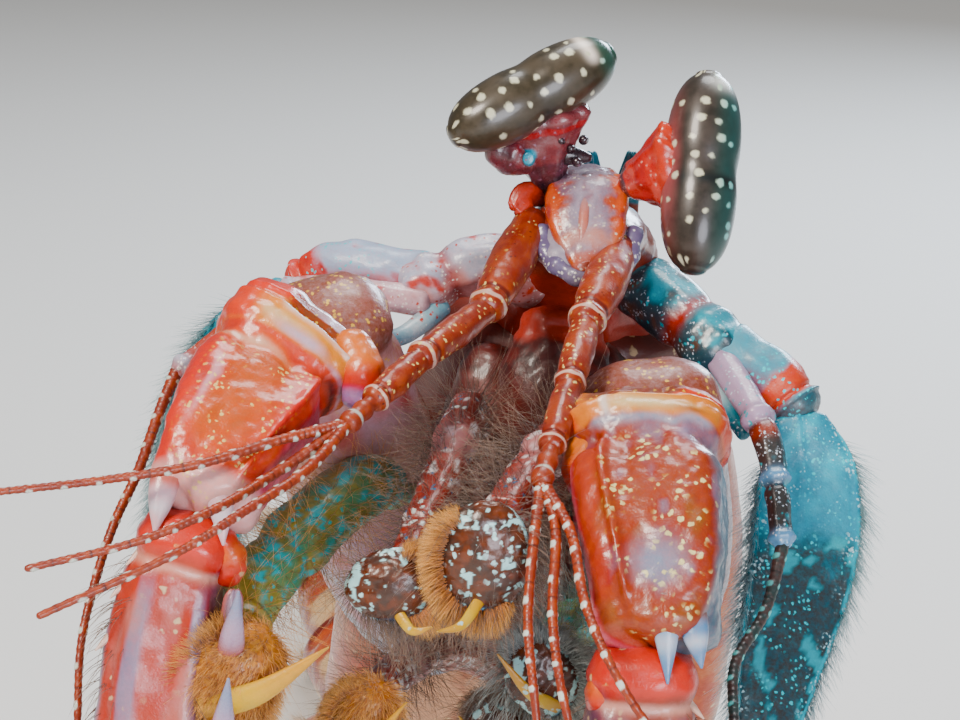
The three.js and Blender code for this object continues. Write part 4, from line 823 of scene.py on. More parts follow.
def buildLegs():
    for i, step in enumerate(legSteps):
        for word, side in sidesOf.items():
            distance = trunk["carapace"] + (step["ring"] + 0.5) * trunk["thoraxRing"]
            centre = trunkPoint(distance, 0, 0)
            hip = trunkPoint(distance, side * step["hip"], -2.6)
            kneeX, kneeY, kneeZ = step["knee"]
            footX, footY = step["foot"]
            knee = np.array([centre[0] + side * kneeX, centre[1] + kneeY, kneeZ])
            shin = np.array([centre[0] + side * (0.35 * kneeX + 0.65 * footX),
                             centre[1] + 0.35 * kneeY + 0.65 * footY, 5.2])
            foot = np.array([centre[0] + side * footX, centre[1] + footY, 0.2])

            def joints(t, turn, p):
                # swollen at both ends of each length, with a tight ring at the joint
                return 0.12 * hill(0.0, 0.06, t) + 0.1 * hill(0.62, 0.03, t) - 0.1 * hill(0.68, 0.02, t) \
                    + 0.05 * noise(p, 1.0, 12)
            thigh = loft([[*hip, 1.9, 1.9], [*knee, 1.5, 1.6]], 32, 32, relief=joints)
            lower = loft([[*knee, 1.5, 1.5], [*shin, 1.1, 1.2], [*foot, 1.0, 1.0]], 32, 48, up=(0, 1, 0),
                         dome=(0.4, 0.1), relief=joints)
            restOnFloor(lower)
            branch = spine([knee[0] - side * 1.5, knee[1] + 0.3, knee[2] - 0.4],
                           [knee[0] + side * 1.5, knee[1] + 4.6, 5.4], 0.75, end=0.3, sides=20, rings=16)
            buildSkin(f"walkingLeg{i + 1}_{word}",
                      [paint(thigh, hill(0.5, 0.2, thigh["t"]), smooth(0.9, 1, thigh["t"]), 0, 0),
                       paint(lower, hill(0.35, 0.1, lower["t"]), hill(0.66, 0.03, lower["t"]), 0, 0),
                       paint(branch, 0.6, 0, 0, 0)],
                      shells["limbShell"], [f"walking_leg_{i + 1}_{word}"])


# Camera, floor and light

# the photo was taken from in front of the animal, looking down by 16 degrees; place is in mm of the drawing
viewpoint = {"place": [1.41463415, -247.07675983, 123.872], "down": 16, "lens": 116.85, "sensor": 36}


def shootFrom():
    data = bpy.data.cameras.new("camera")
    data.sensor_width = viewpoint["sensor"]
    data.lens = viewpoint["lens"]
    data.clip_start = 0.01
    data.clip_end = 10
    camera = bpy.data.objects.new("camera", data)
    camera.location = toFrame(viewpoint["place"])
    camera.rotation_euler = (math.radians(90 - viewpoint["down"]), 0, 0)
    bpy.context.collection.objects.link(camera)
    bpy.context.scene.camera = camera


studio = {"floor": "#d9d8d4", "world": "#dfe3e8", "worldStrength": 0.26, "aim": [0.008, -0.07, 0.055],
          "lamps": [["key", (-0.22, -0.34, 0.42), 0.16, 3.7, "#fff2e4"],  # place and size in m, then watts
                    ["fill", (0.16, -0.52, 0.13), 0.24, 2.3, "#eef2ff"],
                    ["top", (0.05, 0.10, 0.5), 0.24, 1.9, "#ffffff"],
                    ["rim", (0.20, 0.32, 0.22), 0.16, 2.0, "#dcecff"]]}


def lightIt():
    bpy.ops.mesh.primitive_plane_add(size=4.0, location=(0, 0, -0.0003))
    floor = bpy.context.active_object
    floor.name = "floor"
    # Matt painted board, rolled: near white, so that the animal's own colours read
    material, add = emptyMaterial("paintedBoard")
    shader = add("BsdfPrincipled", {"Base Color": linear(studio["floor"]), "Roughness": 0.85})
    add("OutputMaterial", {0: shader.outputs[0]})
    floor.data.materials.append(material)
    world = bpy.data.worlds.new("studio")
    world.use_nodes = True
    world.node_tree.nodes["Background"].inputs[0].default_value = linear(studio["world"])
    world.node_tree.nodes["Background"].inputs[1].default_value = studio["worldStrength"]
    bpy.context.scene.world = world
    for name, place, size, power, colour in studio["lamps"]:
        data = bpy.data.lights.new(name, "AREA")
        data.shape = "DISK"
        data.size = size
        data.energy = power
        data.color = linear(colour)[:3]
        lamp = bpy.data.objects.new(name, data)
        lamp.location = place
        aim = np.array(studio["aim"]) - np.array(place)
        lamp.rotation_euler = Vector(aim.tolist()).to_track_quat("-Z", "Y").to_euler()
        bpy.context.collection.objects.link(lamp)


# Head and eyes

def buildHead():
    # the neck swells into the head, whose front edge is a lilac rim; blunt lobes and a red flap stand behind
    neck = loft([[7.3, -53, 70.5, 6.6, 5.0], [7.7, -57.2, 75.6, 5.2, 3.8], [7.9, -61, 78.2, 3.8, 2.6],
                 [8.0, -64.6, 77.6, 2.8, 1.7]], 96, 72, up=backUp, section=archedSection,
                relief=lambda t, turn, p: 0.16 * noise(p, 1.6, 21) + 0.08 * noise(p, 0.5, 22)
                - 0.25 * hill(0.34, 0.05, t) + 0.15 * np.cos(9 * turn) * hill(0.15, 0.2, t))
    place = neck["points"]
    front = smooth(-62.5, -64.5, place[..., 1])
    paint(neck, smooth(79.6, 81.0, place[..., 2]) * 0.8, smooth(77.0, 74.5, place[..., 2]) * 0.9,
          front * smooth(76.0, 77.0, place[..., 2]),
          hill(0.5, 0.2, neck["t"]) * smooth(0.3, 0.8, np.sin(neck["turn"])))
    rim = loft([[5.1, -63.2, 79.4, 0.5, 0.34], [5.8, -65.2, 77.8, 0.52, 0.34], [8.0, -66.1, 77.0, 0.55, 0.36],
                [10.2, -65.2, 77.8, 0.52, 0.34], [10.9, -63.2, 79.4, 0.5, 0.34]], 28, 90, up=(0, 1, 0),
               relief=lambda t, turn, p: 0.07 * np.cos(46 * t) + 0.05 * noise(p, 0.6, 23))
    paint(rim, 1.0, 0, 0.4 * hill(0.5, 0.3, rim["t"]), 0)
    lobes = []
    for x in (-2.1, 0.1, 2.1):
        # the hind edge of the head stands up in blunt teal lobes
        lobe = spine([8.2 + x, -57.8, 79.2], [8.2 + 1.25 * x, -57.4, 82.7], 1.0, flat=0.5, up=(0, 1, 0),
                     end=0.3, sides=32, rings=28)
        lobe["points"] += lobe["normal"] * (
            0.12 * np.cos(5 * lobe["turn"]) * smooth(0.3, 0.8, lobe["t"]))[..., None]
        lobes.append(paint(lobe, 0, 0, 0.5 * smooth(0.75, 0.95, lobe["t"]), smooth(0.1, 0.3, lobe["t"])))
    flap = loft([[5.3, -60.3, 80.6, 0.5, 0.3], [4.3, -61.5, 81.0, 0.95, 0.4], [3.6, -62.2, 80.4, 0.6, 0.3]], 28,
                20, up=(0, -1, 0), relief=lambda t, turn, p: 0.1 * np.cos(6 * turn) * t)
    paint(flap, 0, 1, 0, 0)
    buildSkin("headFront", [neck, rim, *lobes, flap], shells["headShell"], ["head_front"])


def buildPlate():
    def ridges(t, turn, p):
        # raised side edges and a few soft folds across, as on a shield hinged at its hind end
        edge = 0.22 * hill(1.0, 0.16, np.abs(np.cos(turn)))
        folds = 0.09 * np.cos(15 * t + 2.0 * np.cos(turn)) * smooth(0.05, 0.2, t) * (np.sin(turn) > 0)
        return edge + folds + 0.07 * noise(p, 0.9, 24)
    plate = loft([[7.9, -59.6, 82.0, 1.7, 0.7], [7.9, -61.8, 81.4, 2.3, 0.95], [7.9, -64.2, 79.5, 2.0, 0.85],
                  [7.9, -65.8, 77.9, 0.8, 0.5]], 96, 72, up=(0, -0.6, 0.8), relief=ridges)
    sideways = np.abs(plate["points"][..., 0] - 7.9)
    t = plate["t"]
    cloud = noise(plate["points"], 1.0, 68) + 0.5 * noise(plate["points"], 0.4, 69)
    stain(plate, ("#a3563a", 1.0), ("#847c90", 0.9 * smooth(1.9, 1.0, sideways + 0.7 * cloud)),
          ("#b4afbe", 0.6 * smooth(1.1, 0.3, sideways + 0.5 * cloud) * smooth(0.15, 0.4, t)),
          ("#d4562a", 0.85 * smooth(1.2, 2.0, sideways + 0.5 * cloud)),
          ("#7a4a5c", 0.6 * smooth(0.3, 0.7, -cloud)), ("#dc9a84", 0.6 * hill(0.8, 0.08, t + 0.05 * cloud)),
          ("#c8643c", 0.7 * smooth(0.88, 0.97, t)))
    keel = spine([7.9, -61.4, 82.1], [7.5, -65.6, 78.7], 0.45, bend=(0, -0.4, 0.3), end=0.3, sides=24, rings=40)
    stain(keel, ("#a58c94", 1.0), ("#d98a78", 0.8 * hill(0.7, 0.25, keel["t"])))
    buildSkin("rostralPlate", [plate, keel], shells["plateShell"], ["rostral_plate"])


eyes = {
    "right": {"ends": [[-0.35, -63.7, 85.15], [9.45, -60.1, 89.75]], "radius": 2.15, "cornea": "corneaRight"},
    "left": {"ends": [[15.25, -61.4, 88.7], [14.1, -67.0, 77.6]], "radius": 2.3, "cornea": "corneaLeft"},
}
eyeShape = {"blunt": 3.4, "waist": 0.07, "waistSharp": 40}


def buildEyes():
    # a bean: with u from -1 to 1 along it, the radius is r (1 - |u|^blunt)^(1/2) (1 - waist exp(-sharp u^2))
    for word, look in eyes.items():
        a, b = np.array(look["ends"])
        t = 0.02 + 0.96 * np.linspace(0, 1, 41)
        u = 2 * t - 1
        radii = look["radius"] * np.sqrt(1 - np.abs(u) ** eyeShape["blunt"])
        radii *= 1 - eyeShape["waist"] * np.exp(-eyeShape["waistSharp"] * u * u)
        stops = np.hstack([a + (b - a) * t[:, None], np.repeat(radii[:, None], 2, 1)])
        eye = loft(stops, 144, 220, up=(0, -1, 0.2), dome=(0.4, 0.4))
        normal, t = eye["normal"], eye["t"]
        if word == "right":
            # teal at the outer end, a pale streak on top, a dark waist, pink where the stalk's skin laps up
            teal = smooth(0.84, 0.97, t)
            patch = hill(0.86, 0.035, t) * smooth(0.2, 0.6, normal[..., 2])
            waist = hill(0.5, 0.05, t) * smooth(0.3, -0.6, normal[..., 2])
            skin = smooth(-0.55, -0.9, normal[..., 2]) * hill(0.52, 0.26, t)
        else:
            teal = smooth(0.05, 0.85, normal[..., 0])
            patch = hill(0.045, 0.05, t) * smooth(0.0, 0.7, normal[..., 0] - 0.2 * normal[..., 1])
            waist = hill(0.57, 0.035, t)
            skin = smooth(-0.5, -0.95, normal[..., 0]) * hill(0.5, 0.3, t)
        paint(eye, teal, waist, patch, skin)
        buildSkin(f"cornea_{word}", [eye], corneas[look["cornea"]], [f"eye_{word}"])


def buildStalks():
    def folds(t, turn, p):
        # lengthwise folds that fan out into the cup under the eye
        return (0.10 * np.cos(9 * turn) * smooth(0.2, 0.9, t) + 0.14 * noise(p, 0.9, 25)
                - 0.2 * hill(0.3, 0.06, t))
    right = loft([[6.6, -59.4, 79.8, 1.0, 1.0], [5.7, -60.6, 81.8, 1.05, 1.0], [5.2, -61.1, 83.9, 2.0, 1.5],
                  [4.9, -61.6, 86.0, 3.3, 1.6]], 96, 72, up=(0, -1, 0), relief=folds)
    t = right["t"]
    paint(right, smooth(0.5, 0.7, t), hill(0.93, 0.035, t) + 0.8 * hill(0.16, 0.04, t),
          hill(4.4, 0.5, right["points"][..., 0]) * hill(83.9, 0.4, right["points"][..., 2]),
          hill(0.35, 0.1, t))
    knobs = [spine([6.6, -61.2, 83.6], [8.0, -61.2, 83.4], 0.7, end=0.3, sides=28, rings=20),
             loft([[4.4, -61.6, 83.3, 0.9, 0.9], [3.4, -61.9, 83.7, 1.3, 1.1], [2.5, -62.1, 84.0, 0.95, 0.9]],
                  56, 36, up=(0, -1, 0), dome=(0.5, 0.9), caps=8, relief=lumps(0.07, 75, 0.7))]
    paint(knobs[0], 0, 0, 0, 0.8)
    paint(knobs[1], 0.5, 0.3, 0, 0)
    # the small blue ring stands a little proud of the cup
    ringCentre = np.array([4.35, -62.75, 83.7])
    ring = loft([ringCentre.tolist() + [0.42, 0.5], (ringCentre + [0, -0.22, 0.05]).tolist() + [0.34, 0.4]],
                32, 6, up=(0, 0, 1), dome=(0.2, 0.2))
    paint(ring, 0, 0, 1, 0)
    bumps = [paint(loft([[x, y, z, 0.32], [x, y - 0.3, z + 0.1, 0.22]], 20, 6, up=(0, 0, 1)), 0, 0, 0, 1)
             for x, y, z in ([6.9, -61.9, 84.1], [7.7, -61.7, 84.6], [7.3, -62.0, 83.3], [6.3, -62.4, 84.7])]
    buildSkin("eyeStalk_right", [right, *knobs, ring, *bumps], shells["stalkShellRight"],
              ["eyestalk_right"])
    left = loft([[9.2, -60.0, 80.6, 1.0, 1.0], [10.4, -61.6, 81.8, 0.95, 1.0], [11.9, -62.9, 82.6, 1.9, 1.6],
                 [13.2, -63.7, 83.0, 3.2, 1.8]], 96, 72, up=(0, -1, 0), relief=folds)
    t = left["t"]
    paint(left, smooth(0.86, 0.98, t), hill(0.7, 0.08, t), smooth(0.34, 0.16, t), hill(0.42, 0.05, t))
    buildSkin("eyeStalk_left", [left], shells["stalkShellLeft"], ["eyestalk_left"])


# Feelers

antennules = {
    "right": {"joints": [[4.6, -61.8, 79.4], [1.8, -69.4, 76.1], [-2, -75.9, 74.9], [-4.5, -79.5, 73.5]],
              "feelers": [[[-9.3, -82.9, 72.3], [-14.1, -85.2, 71.5], [-19.2, -86.4, 71.0],
                           [-24.4, -87.7, 70.8]],
                          [[-9.9, -84.0, 70.6], [-13, -87.2, 69.6], [-16.8, -89.4, 68.6], [-22.6, -91.0, 67.6]],
                          [[-8.1, -84.9, 71.1], [-11.4, -88.3, 69.8], [-14.6, -90.6, 68.4],
                           [-21.6, -94.1, 66.1]]]},
    "left": {"joints": [[9.9, -63.6, 78.2], [7.6, -71.5, 75.8], [6.5, -77.3, 73.7], [5.4, -82.1, 71.6]],
             "feelers": [[[4.4, -86.7, 68.2], [4.0, -90.1, 64.2], [4.3, -92.0, 60.9], [4.9, -93.4, 55.4]],
                         [[5.5, -86.5, 68.6], [5.3, -90.5, 64.8], [5.7, -92.5, 61.6], [7.4, -95.0, 55.0]],
                         [[6.3, -87.2, 68.4], [7.0, -91.4, 65.8], [8.4, -94.4, 63.2], [11.6, -96.2, 58.4]]]},
}
feelerLook = {"radius": 0.30, "beadMm": 1.75, "ringMm": 0.42}
antennuleRadii = [[1.15, 1.35, 1.0], [0.8, 0.95, 0.8], [0.7, 0.85, 0.72]]  # start, middle and end of each joint


def beadedFeeler(stops, sides=14, rings=260):
    # the whip is built of short rings; every few rings one is swollen and white
    length = sum(math.dist(a[:3], b[:3]) for a, b in zip(stops, stops[1:]))
    beads = length / feelerLook["beadMm"]
    # a bead's place is where the fraction of t * beads is a half

    def ringed(t, turn, p):
        small = 0.018 * np.cos(2 * np.pi * t * length / feelerLook["ringMm"])
        return small + 0.04 * hill(0, 0.12, np.abs((t * beads) % 1 - 0.5))
    surface = loft(stops, sides, rings, up=(0, -0.3, 1), dome=(0, 1), relief=ringed)
    t = surface["t"]
    # a pale dot on either side of each swollen ring
    bead = (hill(0, 0.12, np.abs((t * beads) % 1 - 0.5))
            * smooth(0.25, 0.75, np.abs(np.cos(surface["turn"] + 0.5))))
    return paint(surface, bead, hill(0, 0.12, (t * beads) % 1) * 0.6, 0, 0)


def buildAntennules():
    for word in sidesOf:
        joints = np.array(antennules[word]["joints"])
        joined = []
        for i, (a, b, c) in enumerate(antennuleRadii):
            start, end = joints[i], joints[i + 1]
            middle = 0.5 * (start + end)

            def relief(t, turn, p):
                # a cuff at the far end of each joint, a notch behind it and low ridges along it
                cuff = 0.13 * hill(0.955, 0.04, t) - 0.13 * hill(0.87, 0.035, t)
                return cuff + 0.012 * np.cos(6 * turn + 3) + 0.07 * noise(p, 1.1, 26 + i)
            joint = loft([[*start, a, a], [*middle, b, b], [*end, c, c]], 56, 96, up=(0, -0.3, 1),
                         relief=relief)
            t = joint["t"]
            wander = 0.012 * noise(joint["points"], 0.6, 29)
            joined.append(paint(joint, hill(0.975, 0.018, t + wander),
                                hill(0.87, 0.02, t) + hill(0.02, 0.03, t), 0, 0))
        buildSkin(f"antennuleStalk_{word}", joined, shells["antennuleShell"], [f"antennule_{word}"])
        radius = feelerLook["radius"]
        toward = joints[3] + 0.55 * (joints[3] - joints[2])
        stub = loft([[*joints[3], 0.5, 0.5], [*toward, 0.62, 0.62]], 36, 30, up=(0, -0.3, 1),
                    relief=lambda t, turn, p: 0.06 * np.cos(14 * t))
        paint(stub, hill(0.8, 0.1, stub["t"]) * 0.6, 0.3, 0, 0)
        whips = [beadedFeeler([[*toward, 1.15 * radius, 1.15 * radius],
                               *[[*p, radius * (1 - 0.1 * k), radius * (1 - 0.1 * k)]
                                 for k, p in enumerate(points)]])
                 for points in antennules[word]["feelers"]]
        buildSkin(f"antennuleFeelers_{word}", [stub, *whips], shells["feelerShell"],
                  [f"antennule_feelers_{word}"])


antennae = {
    "right": {"root": [[4.6, -56.8, 74.6, 1.9], [2.0, -58.6, 76.2, 1.8], [-2.6, -59.4, 74.7, 1.7]],
              "finger": [[-1.0, -60.0, 73.8], [-5.9, -65.3, 72.8], [0, 0, -0.8]],
              "shaft": [[-2.2, -60.6, 74.2, 0.95], [-9.9, -60.6, 74.9, 0.8], [-13, -62.8, 73.5, 0.75],
                        [-16.9, -66.6, 71.4, 0.55]],
              "feeler": [[-17.8, -68.1, 69.4], [-18.9, -71.3, 66.5], [-20.1, -73.2, 64.1], [-21.1, -75.2, 61.2],
                         [-21.8, -77.4, 58.0], [-21.9, -79.6, 53.6]],
              "scaleRoot": [[-2.0, -58.6, 75.2, 1.6], [-7.7, -57, 75.6, 1.5], [-9.8, -56.2, 74.2, 1.4]],
              "scale": [[-10.6, -56.2, 73.6, 1.4, 0.8], [-13.8, -56.6, 69.5, 3.0, 0.5],
                        [-15.8, -58.2, 63.5, 3.3, 0.42], [-16.8, -60.4, 57.5, 2.6, 0.4],
                        [-17.0, -62.6, 52.0, 1.0, 0.35]],
              "shell": "pinkAntennaShell", "feelerShell": "feelerShell"},
    "left": {"root": [[11.2, -57.4, 74.6, 2.0], [12.6, -59.8, 74.2, 2.1], [16.2, -64.3, 72.0, 1.9]],
             "finger": [[15.6, -64.6, 70.8], [17.2, -68.9, 68.2], [0, -0.2, -0.3]],
             "shaft": [[16.2, -65.2, 71.6, 1.0], [18.4, -71.5, 68.5, 0.85], [19, -76.1, 63.7, 0.6]],
             "feeler": [[17.8, -79, 60.7], [15.9, -81.8, 58.5], [15.6, -85.4, 56.2], [15.2, -88.6, 53.8],
                        [14.6, -91.4, 50.2]],
             "scaleRoot": [[16.6, -64.0, 72.0, 1.8], [19.4, -65.4, 70.4, 1.75], [20.6, -66.2, 69, 1.7]],
             "scale": [[20.7, -67.0, 68.4, 1.8, 0.9], [21.2, -68.6, 65.4, 3.1, 0.5],
                       [20.7, -71.4, 61.2, 3.4, 0.42], [18.9, -75.9, 55.8, 2.6, 0.4],
                       [17.4, -80.2, 50.2, 1.2, 0.35]],
             "shell": "tealAntennaShell", "feelerShell": "darkFeelerShell"},
}


scaleFringe = {"setae": "mistSetae", "count": 3000, "length": 1.7, "radius": 0.018, "lean": 0.9, "stray": 0.06,
               "droop": 0.05, "arch": 0.0, "segments": 3}


def buildAntennae():
    for word, look in antennae.items():
        side, shell = sidesOf[word], shells[look["shell"]]
        root = loft(look["root"], 96, 80, up=(0, -0.3, 1), relief=lambda t, turn, p: 0.13 * noise(
            p, 1.3, 31) + 0.05 * np.cos(7 * turn) + 0.2 * hill(0.9, 0.05, t) - 0.2 * hill(0.78, 0.04, t))
        t = root["t"]
        top = np.sin(root["turn"]) + 0.5 * noise(root["points"], 1.3, 70)
        cloud = noise(root["points"], 0.9, 71)
        if side < 0:
            stain(root, ("#d39c9a", 1.0), ("#b9c6dc", 0.9 * smooth(0.1, 0.7, top)),
                  ("#cf4630", 0.85 * smooth(0.25, 0.6, cloud)), ("#9a3630", 0.8 * hill(0.78, 0.04, t)))
        else:
            stain(root, ("#23444f", 1.0), ("#5c4030", 0.85 * smooth(0.0, 0.5, -cloud)),
                  ("#3fb2c6", 0.9 * smooth(0.65, 1.0, top)), ("#b5463c", 0.85 * hill(0.78, 0.05, t)))
        finger = spine(look["finger"][0], look["finger"][1], 0.75, bend=look["finger"][2], end=0.45, sides=32,
                       rings=40)
        stain(finger, ("#7fb9cc" if side < 0 else "#2f8296", 1.0),
              ("#d7e6ec", 0.6 * hill(0.4, 0.2, finger["t"])))
        buildSkin(f"antennaRoot_{word}", [root, finger], shell, [f"antenna_root_{word}"])

        def cuffs(t, turn, p):
            # each joint of the shaft ends in a swollen cuff with a pinched neck behind it
            total = 0.05 * noise(p, 0.9, 33) + 0.03 * np.cos(6 * turn)
            for at in (0.4, 0.72, 1.0):
                total = total + 0.2 * hill(at - 0.03, 0.022, t) - 0.18 * hill(at + 0.012, 0.016, t)
            return total
        shaft = loft(look["shaft"], 64, 140, up=(0, -0.3, 1), relief=cuffs)
        t = shaft["t"]
        joint = hill(0.37, 0.025, t) + hill(0.69, 0.025, t) + hill(0.97, 0.03, t)
        cloud = noise(shaft["points"], 1.0, 72)
        if side < 0:
            stain(shaft, ("#a8442f", 1.0), ("#dcbcc4", 0.9 * smooth(0.55, 0.35, t + 0.1 * cloud)),
                  ("#c2382a", 0.8 * smooth(0.2, 0.6, cloud)), ("#c3cbe0", 0.9 * joint))
        else:
            stain(shaft, ("#33302f", 1.0), ("#c9b0cc", 0.92 * smooth(0.46, 0.40, t + 0.05 * cloud)),
                  ("#9a4030", 0.9 * hill(0.47, 0.035, t)),
                  ("#7fb0d8", 0.9 * hill(0.69, 0.03, t) + 0.9 * smooth(0.92, 0.97, t)),
                  ("#58a9bc", 0.7 * smooth(0.25, 0.6, cloud) * smooth(0.5, 0.6, t)))
        buildSkin(f"antennaShaft_{word}", [shaft], shell, [f"antenna_{word}"])
        last = look["shaft"][-1]
        radius = feelerLook["radius"]
        whip = beadedFeeler([[*last[:3], 0.4, 0.4],
                             *[[*p, radius * (1.1 - 0.07 * k), radius * (1.1 - 0.07 * k)]
                               for k, p in enumerate(look["feeler"])]], sides=18, rings=320)
        buildSkin(f"antennaFeeler_{word}", [whip], shells[look["feelerShell"]],
                  [f"antenna_feeler_{word}"])
        base = loft(look["scaleRoot"], 72, 64, up=(0, -0.3, 1), relief=lambda t, turn, p: 0.14 * noise(
            p, 1.3, 35) + 0.22 * hill(0.93, 0.04, t) - 0.2 * hill(0.82, 0.04, t))
        t = base["t"]
        top = np.sin(base["turn"]) + 0.5 * noise(base["points"], 1.3, 73)
        cloud = noise(base["points"], 0.9, 74)
        if side < 0:
            stain(base, ("#cf8f96", 1.0), ("#b4c2dc", 0.9 * smooth(0.0, 0.6, top)),
                  ("#e2431e", 0.95 * smooth(0.50, 0.66, t + 0.08 * cloud)),
                  ("#c23c2c", 0.7 * smooth(0.3, 0.6, cloud)))
        else:
            stain(base, ("#8f5a68", 1.0), ("#58a9bc", 0.85 * smooth(0.3, 0.9, top)),
                  ("#e04e26", 0.95 * smooth(0.42, 0.56, t + 0.06 * cloud) * smooth(0.9, 0.84, t)),
                  ("#2a2420", 0.8 * smooth(0.9, 0.95, t)))
        blade = loft(look["scale"], 96, 120, up=(0.15, -1, 0.2), dome=(0.6, 1.6),
                     relief=lambda t, turn, p: 0.025 * np.cos(34 * np.cos(turn) + 3 * t) * smooth(0.1, 0.3, t)
                     + 0.05 * noise(p, 0.8, 36)
                     + 0.14 * hill(0.0, 0.09, np.cos(turn) + 0.15) * (np.sin(turn) > 0))
        edge = np.abs(np.cos(blade["turn"]))
        t = blade["t"]
        cloud = noise(blade["points"], 1.8, 37) + 0.5 * noise(blade["points"], 0.7, 38)
        low = smooth(0.40, 0.52, t + 0.08 * cloud)
        stain(blade, ("#1f8ea8", 1.0), ("#5fc3d6", 0.7 * smooth(0.0, 0.7, cloud) * smooth(0.6, 0.2, t)),
              ("#2b2016", 0.96 * low), ("#2fb6c4", 0.85 * smooth(0.35, 0.5, cloud) * low),
              ("#5fcfe0", 0.9 * smooth(0.86, 0.95, edge) * smooth(-0.3, 0.3, cloud + 0.3)))
        paint(blade, smooth(0.5, 0.2, t), smooth(0.6, 0.9, edge), 0, 0)
        buildSkin(f"antennalScale_{word}", [base, blade], shells["scaleMembrane"],
                  [f"antennal_scale_{word}"])
        coat(f"scaleFringe_{word}", blade, scaleFringe,
             keep=lambda t, turn: smooth(0.1, 0.3, t) * smooth(0.9, 0.985, np.abs(np.cos(turn))))


# Claws

claws = {
    "right": {"arm": [[-1.6, -47.0, 47.5, 3.6, 3.2], [-3.6, -54.5, 54.5, 4.6, 4.0],
                      [-6.2, -62.6, 65.0, 4.8, 4.2], [-8.2, -68.6, 75, 4, 3.2]],
              "wrist": [[-9, -72.6, 75.5, 3.9, 2.7], [-11, -75.9, 73.3, 4.1, 3.2],
                        [-12.7, -79.6, 71.2, 3.8, 3.3], [-14, -82.9, 68.7, 3, 2.5]],
              "teeth": [[-0.8, 1.6, -0.9], [0.45, 1.4, -1.6]],
              "hand": [[-14.7, -83.4, 67.1, 2.5, 2.2], [-16, -84.4, 62.7, 2.9, 2.5],
                       [-17.4, -86.2, 50.0, 3.0, 2.6], [-17.4, -83.4, 36.0, 2.4, 2.2],
                       [-16.2, -80.6, 25.0, 1.6, 1.6]],
              "shell": "clawShellRight"},
    "left": {"arm": [[12.6, -47.0, 47.5, 3.6, 3.2], [12.6, -55.0, 53.5, 4.6, 4.0],
                     [12.0, -64.4, 61.8, 4.8, 4.2], [11.2, -73.9, 71.1, 4.1, 3.2]],
             "wrist": [[10.9, -78.4, 71.7, 4.2, 2.7], [10.8, -81.5, 70, 4.3, 3.2], [11, -85.5, 66.8, 4.1, 3.5],
                       [11, -88.7, 63.1, 3.3, 2.7]],
             "teeth": [[0.15, 2.6, -1.8], [0.75, 1.4, -0.9]],
             "hand": [[10.3, -89, 61.4, 2.7, 2.3], [10.1, -89.6, 56.9, 3.1, 2.6], [11.0, -91.4, 45.0, 3.0, 2.6],
                      [10.8, -87.6, 32.0, 2.4, 2.2], [10.0, -83.6, 21.4, 1.6, 1.6]],
             "shell": "clawShellLeft"},
}
clawLook = {"teeth": 8, "wristRidges": 4, "mottleMm": 1.6, "handFlutes": 6, "handSpines": 9,
            "fuzz": {"setae": "brownSetae", "count": 700, "length": 2.0, "radius": 0.028, "lean": 0.8,
                     "stray": 0.3, "droop": 0.25}}
# along the wrist, then the factors of its width and height: collar, groove and block
wristSwell = np.array([[0, 1.02, 1.0], [0.14, 1.1, 1.12], [0.29, 0.88, 0.86], [0.42, 1.02, 1.04],
                       [0.72, 1.0, 1.02], [1, 0.98, 1.0]])


def wristStops(stops):
    # the collar, the groove and the block of the wrist are one set of sizes laid over its own taper
    table = np.array(stops, float)
    gaps = np.sqrt(np.linalg.norm(np.diff(table[:, :3], axis=0), axis=1))
    place = alongSpline(table[:, :3], wristSwell[:, 0], gaps)[0]
    size = alongSpline(table[:, 3:], wristSwell[:, 0], np.ones(3))[0]
    return np.hstack([place, size * wristSwell[:, 1:]]).tolist()


